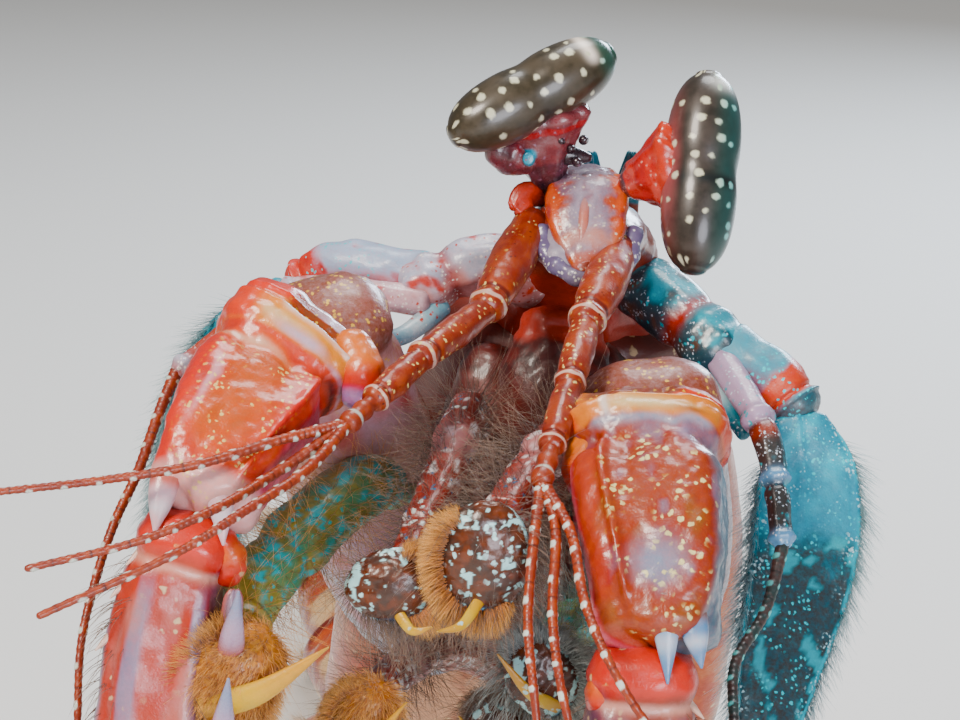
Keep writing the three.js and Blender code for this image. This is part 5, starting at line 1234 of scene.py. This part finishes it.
def buildWrist(word, side):
    look = claws[word]
    start, end = look["wrist"][0], look["wrist"][3]

    def relief(t, turn, points):
        # a rolled lip round the window at the elbow, then ridges that run down the block between hollows, a
        # sharp keel on the inner side and a scalloped far edge
        q, face = -side * np.cos(turn), smooth(-0.2, 0.5, np.sin(turn))
        border = 0.125 + 0.05 * q
        window = -0.34 * smooth(border + 0.01, border - 0.05, t) * smooth(-0.25, 0.0, q) * smooth(0.95, 0.7, q)
        lip = 0.22 * hill(0.0, 0.028, t - border) + 0.26 * hill(0.01, 0.03, t)
        block = smooth(0.34, 0.46, t) * smooth(1.0, 0.9, t)
        ridges = 0.24 * np.cos(clawLook["wristRidges"] * turn + 2.2 * t + 0.8) * block
        keel = 0.34 * hill(0.52 - 0.35 * (t - 0.6), 0.07, q) * block
        dent = (-0.34 * hill(0.18, 0.16, q) * hill(0.52, 0.12, t)
                - 0.4 * hill(0.78, 0.18, q) * hill(0.42, 0.06, t))
        scallop = 0.24 * smooth(0.86, 0.96, t) * np.cos(4 * turn + 0.6)
        rough = 0.13 * noise(points, 1.5, 41) + 0.06 * noise(points, 0.55, 42)
        return face * (window + lip + keel + dent) + ridges + scallop + rough
    block = loft(wristStops(look["wrist"]), 240, 232, up=(0, -1, 0.3), section=boxySection,
                 dome=(0.5, 0.4), relief=relief)
    t, q = block["t"], -side * np.cos(block["turn"])
    stretched = block["points"] * [1.0, 0.55, 0.55]
    cloud = noise(stretched, clawLook["mottleMm"], 43) + 0.5 * noise(stretched, 0.7, 44)
    wave = 0.05 * cloud
    border = 0.125 + 0.05 * q
    inCollar = smooth(0.31, 0.27, t + 0.3 * wave)
    window = smooth(border, border - 0.03, t) * smooth(-0.3, -0.1, q) * smooth(1.0, 0.85, q)
    line = hill(0.0, 0.022, t - border)
    if side < 0:
        stain(block, ("#d8452e", 1.0), ("#e8806c", 0.7 * smooth(-0.2, 0.6, cloud)),
              ("#b8241c", 0.8 * smooth(0.2, 0.9, -cloud)),
              ("#c9683a", 0.85 * smooth(0.38, 0.5, t) * hill(-0.1, 0.42, q + 2 * wave) * smooth(0.95, 0.8, t)),
              ("#efd0b4", 0.75 * hill(0.42, 0.05, t + wave) * smooth(0.4, -0.3, q)),
              ("#ecd6e4", 0.6 * hill(-0.55, 0.10, q + 2 * wave) * hill(0.72, 0.12, t)),
              ("#d2170f", 0.95 * hill(0.50, 0.10, q) * smooth(0.36, 0.5, t) * smooth(0.95, 0.8, t)),
              ("#cf7f98", 0.7 * smooth(0.66, 0.85, q) * smooth(0.36, 0.5, t)),
              ("#e0200f", 0.9 * smooth(-0.6, -0.85, q) * smooth(0.4, 0.6, t)),
              ("#f2c9c6", 0.85 * smooth(0.93, 0.99, t)), ("#f0a04c", 0.95 * inCollar),
              ("#f4dcae", 0.9 * inCollar * hill(0.2, 0.05, t) * smooth(0.5, -0.4, q)),
              ("#e5351a", 0.95 * inCollar * smooth(-0.25, -0.75, q + 2 * wave)),
              ("#cdbfd6", 0.9 * inCollar * hill(0.25, 0.04, t) * hill(0.1, 0.3, q)),
              ("#b9a2cc", 0.85 * inCollar * smooth(0.24, 0.29, t) * smooth(0.3, 0.7, q)),
              ("#cfa970", 0.8 * inCollar * hill(0.17, 0.03, t) * smooth(0.5, 0.8, q)),
              ("#e4552c", 0.9 * inCollar * hill(0.225, 0.03, t) * smooth(0.6, 0.9, q)),
              ("#e22c14", 0.95 * smooth(0.075, 0.03, t) * smooth(0.1, -0.2, q)),
              ("#74402a", 0.95 * window), ("#f6e9e4", 0.9 * line * smooth(-0.35, -0.1, q)),
              ("#e8d6e6", 0.85 * smooth(0.02, 0.0, t) * smooth(-0.1, 0.3, q)),
              ("#431018", 0.9 * hill(0.335, 0.035, t) * smooth(0.5, 0.8, q)))
    else:
        stain(block, ("#9a3c24", 1.0), ("#77748c", 0.7 * smooth(0.2, 0.75, cloud + 0.45 * hill(0.4, 0.10, t))),
              ("#8c5a36", 0.8 * smooth(0.15, 0.8, -cloud) * smooth(0.5, 0.75, t)),
              ("#b5391f", 0.9 * smooth(0.25, 0.6, q - 0.6 * (t - 0.5) + 2 * wave) * smooth(0.36, 0.5, t)),
              ("#df7f92", 0.85 * smooth(0.86, 0.97, q) * smooth(0.36, 0.5, t)),
              ("#3f7488", 0.85 * smooth(-0.55, -0.85, q + 2 * wave) * smooth(0.36, 0.5, t)),
              ("#a9a0bf", 0.75 * hill(-0.35, 0.12, q) * hill(0.42, 0.07, t)),
              ("#8b9db4", 0.8 * hill(0.0, 0.3, q) * hill(0.86, 0.06, t)), ("#e58a4a", 0.95 * inCollar),
              ("#efd9a8", 0.95 * inCollar * hill(0.20, 0.06, t) * hill(0.1, 0.6, q)),
              ("#8e4a2c", 0.7 * inCollar * hill(0.23, 0.025, t) * hill(-0.4, 0.25, q + wave)),
              ("#ea3a1c", 0.95 * inCollar * smooth(0.12, 0.06, t + 0.03 * np.abs(q))),
              ("#ee8a3a", 0.95 * inCollar * smooth(0.45, 0.6, q)),
              ("#e0281c", 0.95 * inCollar * smooth(0.85, 0.97, q)),
              ("#f3e8e0", 0.9 * inCollar * hill(0.46, 0.05, q)),
              ("#96a2b6", 0.85 * hill(0.31, 0.035, t + wave) * smooth(0.9, 0.6, np.abs(q))),
              ("#c9352a", 0.9 * inCollar * smooth(-0.75, -0.9, q)),
              ("#6f3a26", 0.9 * smooth(0.05, 0.03, t) * smooth(-0.4, -0.2, q) * smooth(0.9, 0.7, q)),
              ("#f0c8bc", 0.85 * hill(0.06, 0.012, t)))
    paint(block, window if side < 0 else smooth(0.05, 0.03, t), 0.0,
          smooth(0.36, 0.46, t) * smooth(0.75, 0.45, np.abs(q + 0.1)), 0)
    shoulder = loft([[start[0] - side * 2.9, start[1] - 1.6, start[2] - 0.2, 1.2, 1.2],
                     [start[0] - side * 3.6, start[1] - 2.8, start[2] - 1.6, 1.35, 1.35],
                     [start[0] - side * 3.4, start[1] - 3.6, start[2] - 3.0, 0.9, 0.9]], 72, 64,
                    up=(0, -1, 0), relief=lumps(0.08, 48, 0.9))
    t = shoulder["t"]
    stain(shoulder, ("#e9803f", 1.0), ("#e3341c", smooth(0.35, 0.7, t)),
          ("#9a86b8", 0.9 * smooth(0.75, 0.95, t)))
    teeth = []
    for k, root, tip in look["teeth"]:
        tooth = spine([end[0] + k * 2.4, end[1] - 1.0, end[2] + root],
                      [end[0] + k * 3.0, end[1] - 2.9, end[2] + tip], 0.85, flat=0.7, up=(0, -1, 0), sides=48,
                      rings=48)
        t = tooth["t"]
        stain(tooth, ("#c07a72" if side < 0 else "#8b6f6c", 1.0),
              ("#e9c9d2" if side < 0 else "#6f9cc4", smooth(0.05, 0.35, t)),
              ("#dfeaf4", 0.6 * hill(0.6, 0.12, t)))
        teeth.append(tooth)
    buildSkin(f"clawWrist_{word}", [block, shoulder, *teeth], shells[look["shell"]],
              [f"claw_wrist_{word}"])


def buildArm(word, side):
    def relief(t, turn, p):
        # a flange round the far end that the wrist turns in, and long muscle hollows below it
        return 0.30 * hill(0.985, 0.02, t) - 0.2 * hill(0.93, 0.03, t) + 0.18 * np.cos(4 * turn) * smooth(
            0.9, 0.6, t) + 0.12 * noise(p, 2.2, 44) + 0.05 * noise(p, 0.7, 45)
    arm = loft(claws[word]["arm"], 144, 144, up=(0, -1, 0.3), section=boxySection, relief=relief)
    t, q = arm["t"], -side * np.cos(arm["turn"])
    cloud = noise(arm["points"], 2.4, 46)
    if side < 0:
        stain(arm, ("#8fa0b4", 1.0), ("#b88fa0", 0.9 * smooth(0.2, 0.55, t + 0.2 * cloud)),
              ("#c2433c", 0.85 * smooth(0.1, 0.6, cloud) * smooth(0.2, 0.5, t)),
              ("#e2b3a2", 0.8 * hill(0.72, 0.1, t)), ("#e0a59c", 0.8 * smooth(0.84, 0.9, t)),
              ("#80462f", 0.92 * smooth(0.955, 0.985, t + 0.015 * cloud)))
    else:
        stain(arm, ("#5f3b52", 1.0), ("#2f5e78", 0.8 * smooth(0.1, 0.6, cloud)),
              ("#c63a34", 0.9 * smooth(0.6, 0.8, t) * smooth(-0.3, -0.8, q)),
              ("#d2604a", 0.9 * smooth(0.84, 0.9, t)),
              ("#80462f", 0.92 * smooth(0.965, 0.99, t + 0.015 * cloud)))
    paint(arm, smooth(0.84, 0.92, t), 0, 0, 0)
    buildSkin(f"clawArm_{word}", [arm], shells["clawArmShell"], [f"claw_arm_{word}"])


def buildHand(word, side):
    hand = claws[word]["hand"]

    def relief(t, turn, p):
        # a swollen knuckle, then long flutes down the hand
        flutes = 0.16 * np.cos(clawLook["handFlutes"] * turn + 0.8) * smooth(0.1, 0.3, t)
        return 0.24 * hill(0.04, 0.04, t) - 0.22 * hill(0.11, 0.03, t) + flutes + 0.1 * noise(p, 2.0, 46) \
            + 0.05 * noise(p, 0.6, 47)
    palm = loft(hand, 128, 200, up=(0, -1, 0.1), section=boxySection, dome=(0.5, 0.5), relief=relief)
    t, q = palm["t"], -side * np.cos(palm["turn"])
    cloud = noise(palm["points"] * [1, 1, 0.4], 1.6, 50)
    streaks = np.cos(clawLook["handFlutes"] * palm["turn"] + 0.8 + cloud)
    stain(palm, ("#c05a50" if side < 0 else "#8f4a40", 1.0),
          ("#7f8fae", 0.8 * smooth(0.2, 0.8, streaks) * smooth(0.1, 0.25, t)),
          ("#d9a29a", 0.7 * smooth(0.0, 0.7, cloud) * smooth(0.1, 0.3, t)),
          ("#5a3f63", 0.8 * smooth(0.4, 0.9, q)), ("#e32d14", 0.95 * smooth(0.10, 0.05, t + 0.02 * cloud)),
          ("#f0b9a8", 0.8 * hill(0.115, 0.018, t)),
          ("#c23a2c", 0.7 * hill(0.55, 0.12, t) * smooth(0.2, -0.4, q)))
    start = hand[0]
    knuckle = loft([[start[0] - side * 1.9, start[1] - 0.9, start[2] - 0.2, 0.75, 0.8],
                    [start[0] - side * 2.3, start[1] - 1.0, start[2] - 1.4, 0.95, 1.0],
                    [start[0] - side * 2.1, start[1] - 0.9, start[2] - 2.5, 0.7, 0.75]], 64, 48,
                   up=(0, -1, 0), relief=lumps(0.08, 48, 0.8))
    stain(knuckle, ("#e8301a", 1.0), ("#f2885a", 0.7 * hill(0.3, 0.2, knuckle["t"])))
    outerSpines = []
    column = int(np.argmin(np.abs(palm["turn"][0] - (0.15 if side > 0 else 3.0))))
    for k in range(clawLook["handSpines"]):
        # short fixed spines along the outer edge of the hand
        at = palm["points"][int((0.12 + 0.09 * k) * len(palm["points"])), column]
        thorn = spine(at - [side * 0.5, 0, 0], at + [side * 0.5, -0.9, -0.8], 0.28, end=0.05, sides=10, rings=6)
        outerSpines.append(stain(thorn, ("#e9c9b8", 1.0)))
    buildSkin(f"clawHand_{word}", [palm, knuckle, *outerSpines], shells["clawHandShell"],
              [f"claw_hand_{word}"])
    coat(f"clawFuzz_{word}", palm, clawLook["fuzz"],
         keep=lambda t, turn: smooth(0.5, 0.9, np.abs(np.cos(turn))) * smooth(0.05, 0.2, t))


def buildFinger(word, side):
    # the folded finger lies inside the hand and runs back up along it
    hand = claws[word]["hand"]
    inward = -side * 3.5
    stops = [[hand[k][0] + inward * (0.55, 1, 1.12, 1.1)[i], hand[k][1] - 1.6, hand[k][2] + (-1.4, 0, 0, 1)[i],
              (1.3, 1.0, 0.9, 0.55)[i], (1.6, 1.3, 1.1, 0.6)[i]] for i, k in enumerate((4, 3, 2, 1))]
    blade = loft([[*hand[4][:2], hand[4][2] - 2.2, 1.2, 1.4], *stops], 72, 180, up=(0, -1, 0),
                 dome=(0.5, 1.5), relief=lambda t, turn, p: 0.08 * np.cos(5 * turn) + 0.05 * noise(p, 1.2, 49))
    stain(blade, ("#c77f7c", 1.0), ("#8c93ad", 0.7 * smooth(0.2, 0.8, np.sin(blade["turn"]))),
          ("#c9402c", 0.9 * smooth(0.2, 0.05, blade["t"])))
    line = np.array(stops)[:, :3]
    gaps = np.sqrt(np.linalg.norm(np.diff(line, axis=0), axis=1))
    teeth = []
    for i in range(clawLook["teeth"]):
        # long curved teeth, longest at the far end of the finger
        t = (i + 0.5) / clawLook["teeth"]
        at = alongSpline(line, np.array([t]), gaps)[0][0]
        length = 10 - 5.2 * t
        tooth = spine([at[0], at[1] + 0.2, at[2] - 0.6],
                      [at[0] - side * 0.8, at[1] - 0.35 * length - 0.8, at[2] + 0.86 * length], 0.62,
                      bend=(0, -0.6, 0), flat=1.3, up=(1, 0, 0), sides=28, rings=48)
        teeth.append(stain(tooth, ("#cf8078", 1.0), ("#b9a6c2", 0.9 * smooth(0.2, 0.5, tooth["t"])),
                           ("#8197b4", 0.9 * smooth(0.5, 0.9, tooth["t"]))))
    buildSkin(f"clawFinger_{word}", [blade, *teeth], shells["fingerEnamel"], [f"claw_finger_{word}"])


def buildClaws():
    for word, side in sidesOf.items():
        buildWrist(word, side)
        buildArm(word, side)
        buildHand(word, side)
        buildFinger(word, side)


# Mouth parts and small claws

cleaningBrush = {"setae": "brownSetae", "count": 650, "length": 3.4, "radius": 0.018, "lean": 0.35,
                 "stray": 0.35, "droop": 0.2}


def buildMouth():
    lip = loft([[6.6, -60.5, 72.6, 2.6, 1.8], [6.0, -61.8, 68.5, 3.6, 2.8], [4.8, -59.5, 62.0, 3.4, 3.0],
                [4.2, -54.0, 55.0, 3.2, 2.6]], 96, 96, up=(0, -1, 0.3), relief=lumps(0.3, 51, 1.8))
    paint(lip, smooth(0.2, 0.0, lip["t"]), 0, hill(0.4, 0.2, lip["t"]) * 0.5, 0)
    parts = [lip]
    for word, side in sidesOf.items():
        jaw = loft([[5.6 + side * 3.2, -58.0, 69.5, 2.0, 2.0], [4.6 + side * 3.8, -59.4, 64.5, 2.4, 2.4],
                    [4.0 + side * 3.2, -56.6, 58.0, 1.8, 1.8]], 64, 64, up=(0, -1, 0.3),
                   relief=lumps(0.22, 53, 1.4))
        parts.append(paint(jaw, 0, smooth(0.3, 0.8, jaw["t"]), hill(0.2, 0.1, jaw["t"]), 0))
        cleaner = loft([[4.2 + side * 3.4, -56.0, 57.0, 0.8, 0.8], [2.6 + side * 3.6, -65.0, 61.5, 0.7, 0.7],
                        [1.6 + side * 2.2, -71.5, 63.2, 0.6, 0.6], [0.8 + side * 1.2, -76.0, 60.0, 0.5, 0.5]],
                       36, 96, up=(0, -1, 0.3), relief=lambda t, turn, p: 0.08 * np.cos(40 * t))
        parts.append(paint(cleaner, 0.3, 0, 0.8, 0))
        coat(f"cleaningBrush_{word}", cleaner, cleaningBrush, keep=lambda t, turn: 0.1 + smooth(0.4, 0.9, t))
    buildSkin("mouthParts", parts, shells["softSkin"], ["mouth_parts"])


smallClaws = [
    {"name": "small_claw_1_right", "turn": 0.75, "finger": [-6.8, -88.9, 62.3], "fingerRadius": 0.85,
     "brush": [-0.9, 3.4],
     "arm": [[0.6, -52.5, 53.0, 1.2], [-3.0, -61.0, 62.0, 1.5], [-6.3, -70.5, 64.9, 2.0],
             [-12.0, -80.6, 61.6, 1.9]],
     "hand": [-12.3, -86.0, 59.7], "halfSize": [2.6, 3.2, 1.9], "shells": ["mossyShell", "goldHandShell"],
     "hair": ["goldenSetae", "goldenSetae"], "hairs": 900},
    {"name": "small_claw_2_right", "turn": -0.15, "finger": [-1.2, -87.4, 62.9], "fingerRadius": 0.34,
     "brush": [1.7, 4.4],
     "arm": [[1.8, -51.0, 50.0, 1.1], [1.2, -60.0, 62.0, 1.1], [0.8, -69.1, 69.7, 1.2],
             [-1.2, -78.4, 67.2, 1.2]],
     "hand": [-3.3, -85.0, 64.5], "halfSize": [2.7, 2.0, 1.5], "shells": ["armShell", "brownHandShell"],
     "hair": ["goldenSetae", "brownSetae"], "hairs": 900},
    {"name": "small_claw_2_left", "turn": 0.1, "finger": [-0.9, -89.4, 63.4], "fingerRadius": 0.34,
     "brush": [-0.9, 2.3],
     "arm": [[6.6, -51.0, 50.0, 1.1], [6.6, -62.0, 61.0, 1.1], [6.4, -73.2, 69.4, 1.3],
             [3.4, -82.0, 68.6, 1.3]],
     "hand": [1.6, -86.4, 66.6], "halfSize": [2.5, 3.2, 1.4], "shells": ["armShell", "brownHandShell"],
     "hair": ["goldenSetae", "brownSetae"], "hairs": 800},
    {"name": "small_claw_1_left", "turn": -0.5, "finger": [2.4, -84.6, 60.2], "fingerRadius": 0.45,
     "brush": [1.2, 5.4],
     "arm": [[8.0, -52.0, 52.0, 1.2], [8.4, -62.0, 55.0, 1.3], [7.8, -71.0, 57.4, 1.5],
             [6.0, -77.6, 58.4, 1.4]],
     "hand": [5.0, -82.6, 58.2], "halfSize": [2.1, 2.6, 1.4], "shells": ["mossyShell", "brownHandShell"],
     "hair": ["greySetae", "greySetae"], "hairs": 900},
    {"name": "small_claw_3_right", "turn": 0.5, "finger": [-2.8, -80.4, 55.6], "fingerRadius": 0.4,
     "brush": [-0.9, 3.4],
     "arm": [[2.0, -48.0, 45.0, 1.0], [0.0, -57.0, 49.5, 1.1], [-2.0, -66.0, 53.0, 1.2],
             [-4.0, -73.0, 54.0, 1.2]],
     "hand": [-5.4, -78.0, 53.8], "halfSize": [1.9, 2.3, 1.3], "shells": ["armShell", "goldHandShell"],
     "hair": ["goldenSetae", "brownSetae"], "hairs": 700},
    {"name": "small_claw_3_left", "turn": -0.5, "finger": [0.2, -79.6, 54.4], "fingerRadius": 0.4,
     "brush": [1.2, 5.4],
     "arm": [[5.6, -48.0, 45.0, 1.0], [5.8, -57.0, 48.5, 1.1], [5.4, -66.0, 51.5, 1.2],
             [3.6, -72.0, 52.6, 1.2]],
     "hand": [2.4, -77.0, 52.4], "halfSize": [1.9, 2.3, 1.3], "shells": ["armShell", "brownHandShell"],
     "hair": ["brownSetae", "brownSetae"], "hairs": 700},
]
brushLook = {"bristles": 3600, "reach": 1.15, "radius": 0.024, "segments": 3, "halfWidth": 2.7, "inner": 0.86,
             "band": 0.12}
armHair = {"length": 3.8, "radius": 0.017, "lean": 0.45, "stray": 0.45, "droop": -0.1, "arch": 0.2}
handFur = {"count": 3400, "length": 0.85, "radius": 0.022, "lean": -0.9, "stray": 0.35, "droop": 0.2,
           "arch": 0.1, "segments": 3}
handHair = {"length": 2.6, "radius": 0.017, "lean": -0.6, "stray": 0.35, "droop": 0.2, "arch": 0.1}


def buildBrush(form, centre, across, lean):
    # the brush: bristles in a narrow band round one edge of the hand, combed outward in its own plane
    halfWidth, halfLength, halfDepth = form["halfSize"]
    first, last = form["brush"]
    big = halfWidth / brushLook["halfWidth"]
    inner, band = brushLook["inner"], brushLook["band"]
    count = int(brushLook["bristles"] * big)
    angle = first + (last - first) * dice.random(count)
    inward = inner + band * dice.random(count)
    radial = np.cos(angle)[:, None] * across - np.sin(angle)[:, None] * lean
    root = centre + inward[:, None] * (np.cos(angle)[:, None] * halfWidth * across
                                       - np.sin(angle)[:, None] * halfLength * lean)
    root[:, 1] += halfDepth * 0.55 * dice.uniform(-1, 1, count) - 0.15
    fade = smooth(first, first + 0.35, angle) * smooth(last, last - 0.35, angle)
    length = brushLook["reach"] * big * (0.5 + 0.6 * fade) * dice.uniform(0.7, 1.15, count)
    sway = 0.20 * dice.normal(size=(count, 3)) + np.array([0, -0.22, -0.06])
    direction = radial + sway
    direction /= np.linalg.norm(direction, axis=1)[:, None]
    tip = root + direction * (length + (1 - inward) * halfWidth)[:, None]
    tip[:, 2] -= 0.12 * length
    middle = 0.5 * (root + tip) + 0.18 * length[:, None] * np.array([0, -0.5, 0.6])
    uv = 0.02 + 0.96 * np.stack([(angle - first) / (last - first), (inward - inner) / band], 1)
    tuftMesh(f"{form['name']}_brush", root, tip, middle, uv, {**brushLook, "setae": form["hair"][0]})


def buildSmallClaws():
    for form in smallClaws:
        centre = np.array(form["hand"])
        halfWidth, halfLength, halfDepth = form["halfSize"]
        lean = np.array([math.sin(form["turn"]), 0, math.cos(form["turn"])])
        across = np.array([-math.cos(form["turn"]), 0, math.sin(form["turn"])])
        k = np.linspace(-0.96, 0.96, 25)
        r = np.sqrt(1 - k * k)
        stops = np.hstack([centre + lean * halfLength * k[:, None], (halfWidth * r)[:, None],
                           (halfDepth * r)[:, None]])

        def disc(t, turn, p):
            # a smooth swollen disc with a raised edge where the brush roots
            edge = 0.10 * hill(1.0, 0.12, np.abs(np.cos(turn)))
            return edge + 0.10 * noise(p, 1.2, 61) + 0.04 * noise(p, 0.4, 62)
        hand = loft(stops, 144, 144, up=(0, -1, 0.2), dome=(0.3, 0.3), relief=disc)
        t, c = hand["t"], np.cos(hand["turn"])
        cloud = noise(hand["points"], 0.75, 64) + 0.5 * noise(hand["points"], 0.33, 65)
        rim = smooth(0.55, 0.9, np.sqrt(c ** 2 * (1 - (2 * t - 1) ** 2) + (2 * t - 1) ** 2))
        if form["shells"][1] == "brownHandShell":
            # big pale blue-white blotches toward the rim, a blue lower end, warm brown in the middle
            stain(hand, ("#7a3c22", 0.7 * smooth(0.2, 0.8, -cloud)),
                  ("#c4f4f6", smooth(0.50, 0.55, cloud + 0.40 * rim - 0.04)),
                  ("#4f8fc4", 0.9 * smooth(0.10, 0.01, t)))
        else:
            stain(hand, ("#e0a04e", 0.6 * smooth(0.0, 0.6, cloud)), ("#8f5a2c", 0.6 * smooth(0.3, 0.8, -cloud)))
        finger = spine(centre + lean * halfLength * -0.7 + [0, -0.6 * halfDepth, 0], form["finger"],
                       form["fingerRadius"], bend=(0, -0.4, -0.5), flat=0.6, up=(0, -1, 0), end=0.06, sides=40,
                       rings=60)
        stain(finger, ("#dca23c", 1.0), ("#f0d27c", 0.8 * hill(0.35, 0.25, finger["t"])),
              ("#b5882a", 0.8 * smooth(0.85, 1.0, finger["t"])))
        buildSkin(f"{form['name']}_disc", [hand, finger], shells[form["shells"][1]],
                  [f"{form['name']}_hand"])
        buildBrush(form, centre, across, lean)
        last = np.array(form["arm"][3])
        meet = 0.35 * last[:3] + 0.65 * centre

        def jointed(t, turn, p):
            # three joints: each ends in a low cuff
            total = 0.08 * noise(p, 1.0, 63) + 0.04 * np.cos(5 * turn)
            for at in (0.34, 0.62, 0.86):
                total = total + 0.16 * hill(at, 0.02, t) - 0.2 * hill(at + 0.03, 0.012, t)
            return total
        arm = loft([*form["arm"], [*meet, 0.8 * last[3]]], 72, 180, up=(0.2, -0.2, 1), relief=jointed)
        t = arm["t"]
        cloud = noise(arm["points"] * [1, 0.6, 1], 0.8, 66) + 0.5 * noise(arm["points"], 0.4, 67)
        if form["shells"][0] == "armShell":
            stain(arm, ("#8a2f2a", 0.8), ("#5a2422", 0.7 * smooth(0.1, 0.7, -cloud)),
                  ("#f6f4f6", 0.95 * smooth(0.40, 0.46, cloud)), ("#c99a9c", 0.7 * hill(0.64, 0.03, t)))
        else:
            stain(arm, ("#8a7a3c", 0.6 * smooth(0.0, 0.6, -cloud)),
                  ("#3fd8e4", 0.95 * smooth(0.05, 0.3, cloud) * smooth(0.9, 0.7, t)),
                  ("#c88a3c", 0.8 * smooth(0.78, 0.95, t)))
        buildSkin(f"{form['name']}_limb", [arm], shells[form["shells"][0]], [f"{form['name']}_arm"])
        brushHair, limbHair = form["hair"]
        coat(f"{form['name']}_hairs", arm, {**armHair, "count": form["hairs"], "setae": limbHair},
             keep=lambda t, turn: smooth(0.35, 0.6, t))
        if form["shells"][1] == "goldHandShell":
            coat(f"{form['name']}_handHairs", hand, {**handFur, "setae": brushHair}, keep=lambda t, turn: 1.0)
        else:
            coat(f"{form['name']}_handHairs", hand,
                 {**handHair, "count": int(0.6 * form["hairs"]), "setae": limbHair},
                 keep=lambda t, turn: smooth(0.25, 0.0, t) + 0.5 * smooth(0.7, 1.0, np.abs(np.cos(turn))))


shootFrom()
lightIt()
buildCarapace()
buildThorax()
buildTail(buildAbdomen())
buildLegs()
print("trunk, tail and legs made")
buildHead()
buildPlate()
buildEyes()
buildStalks()
print("head and eyes made")
buildAntennules()
buildAntennae()
print("feelers made")
buildClaws()
buildMouth()
buildSmallClaws()
print("claws and mouth made")
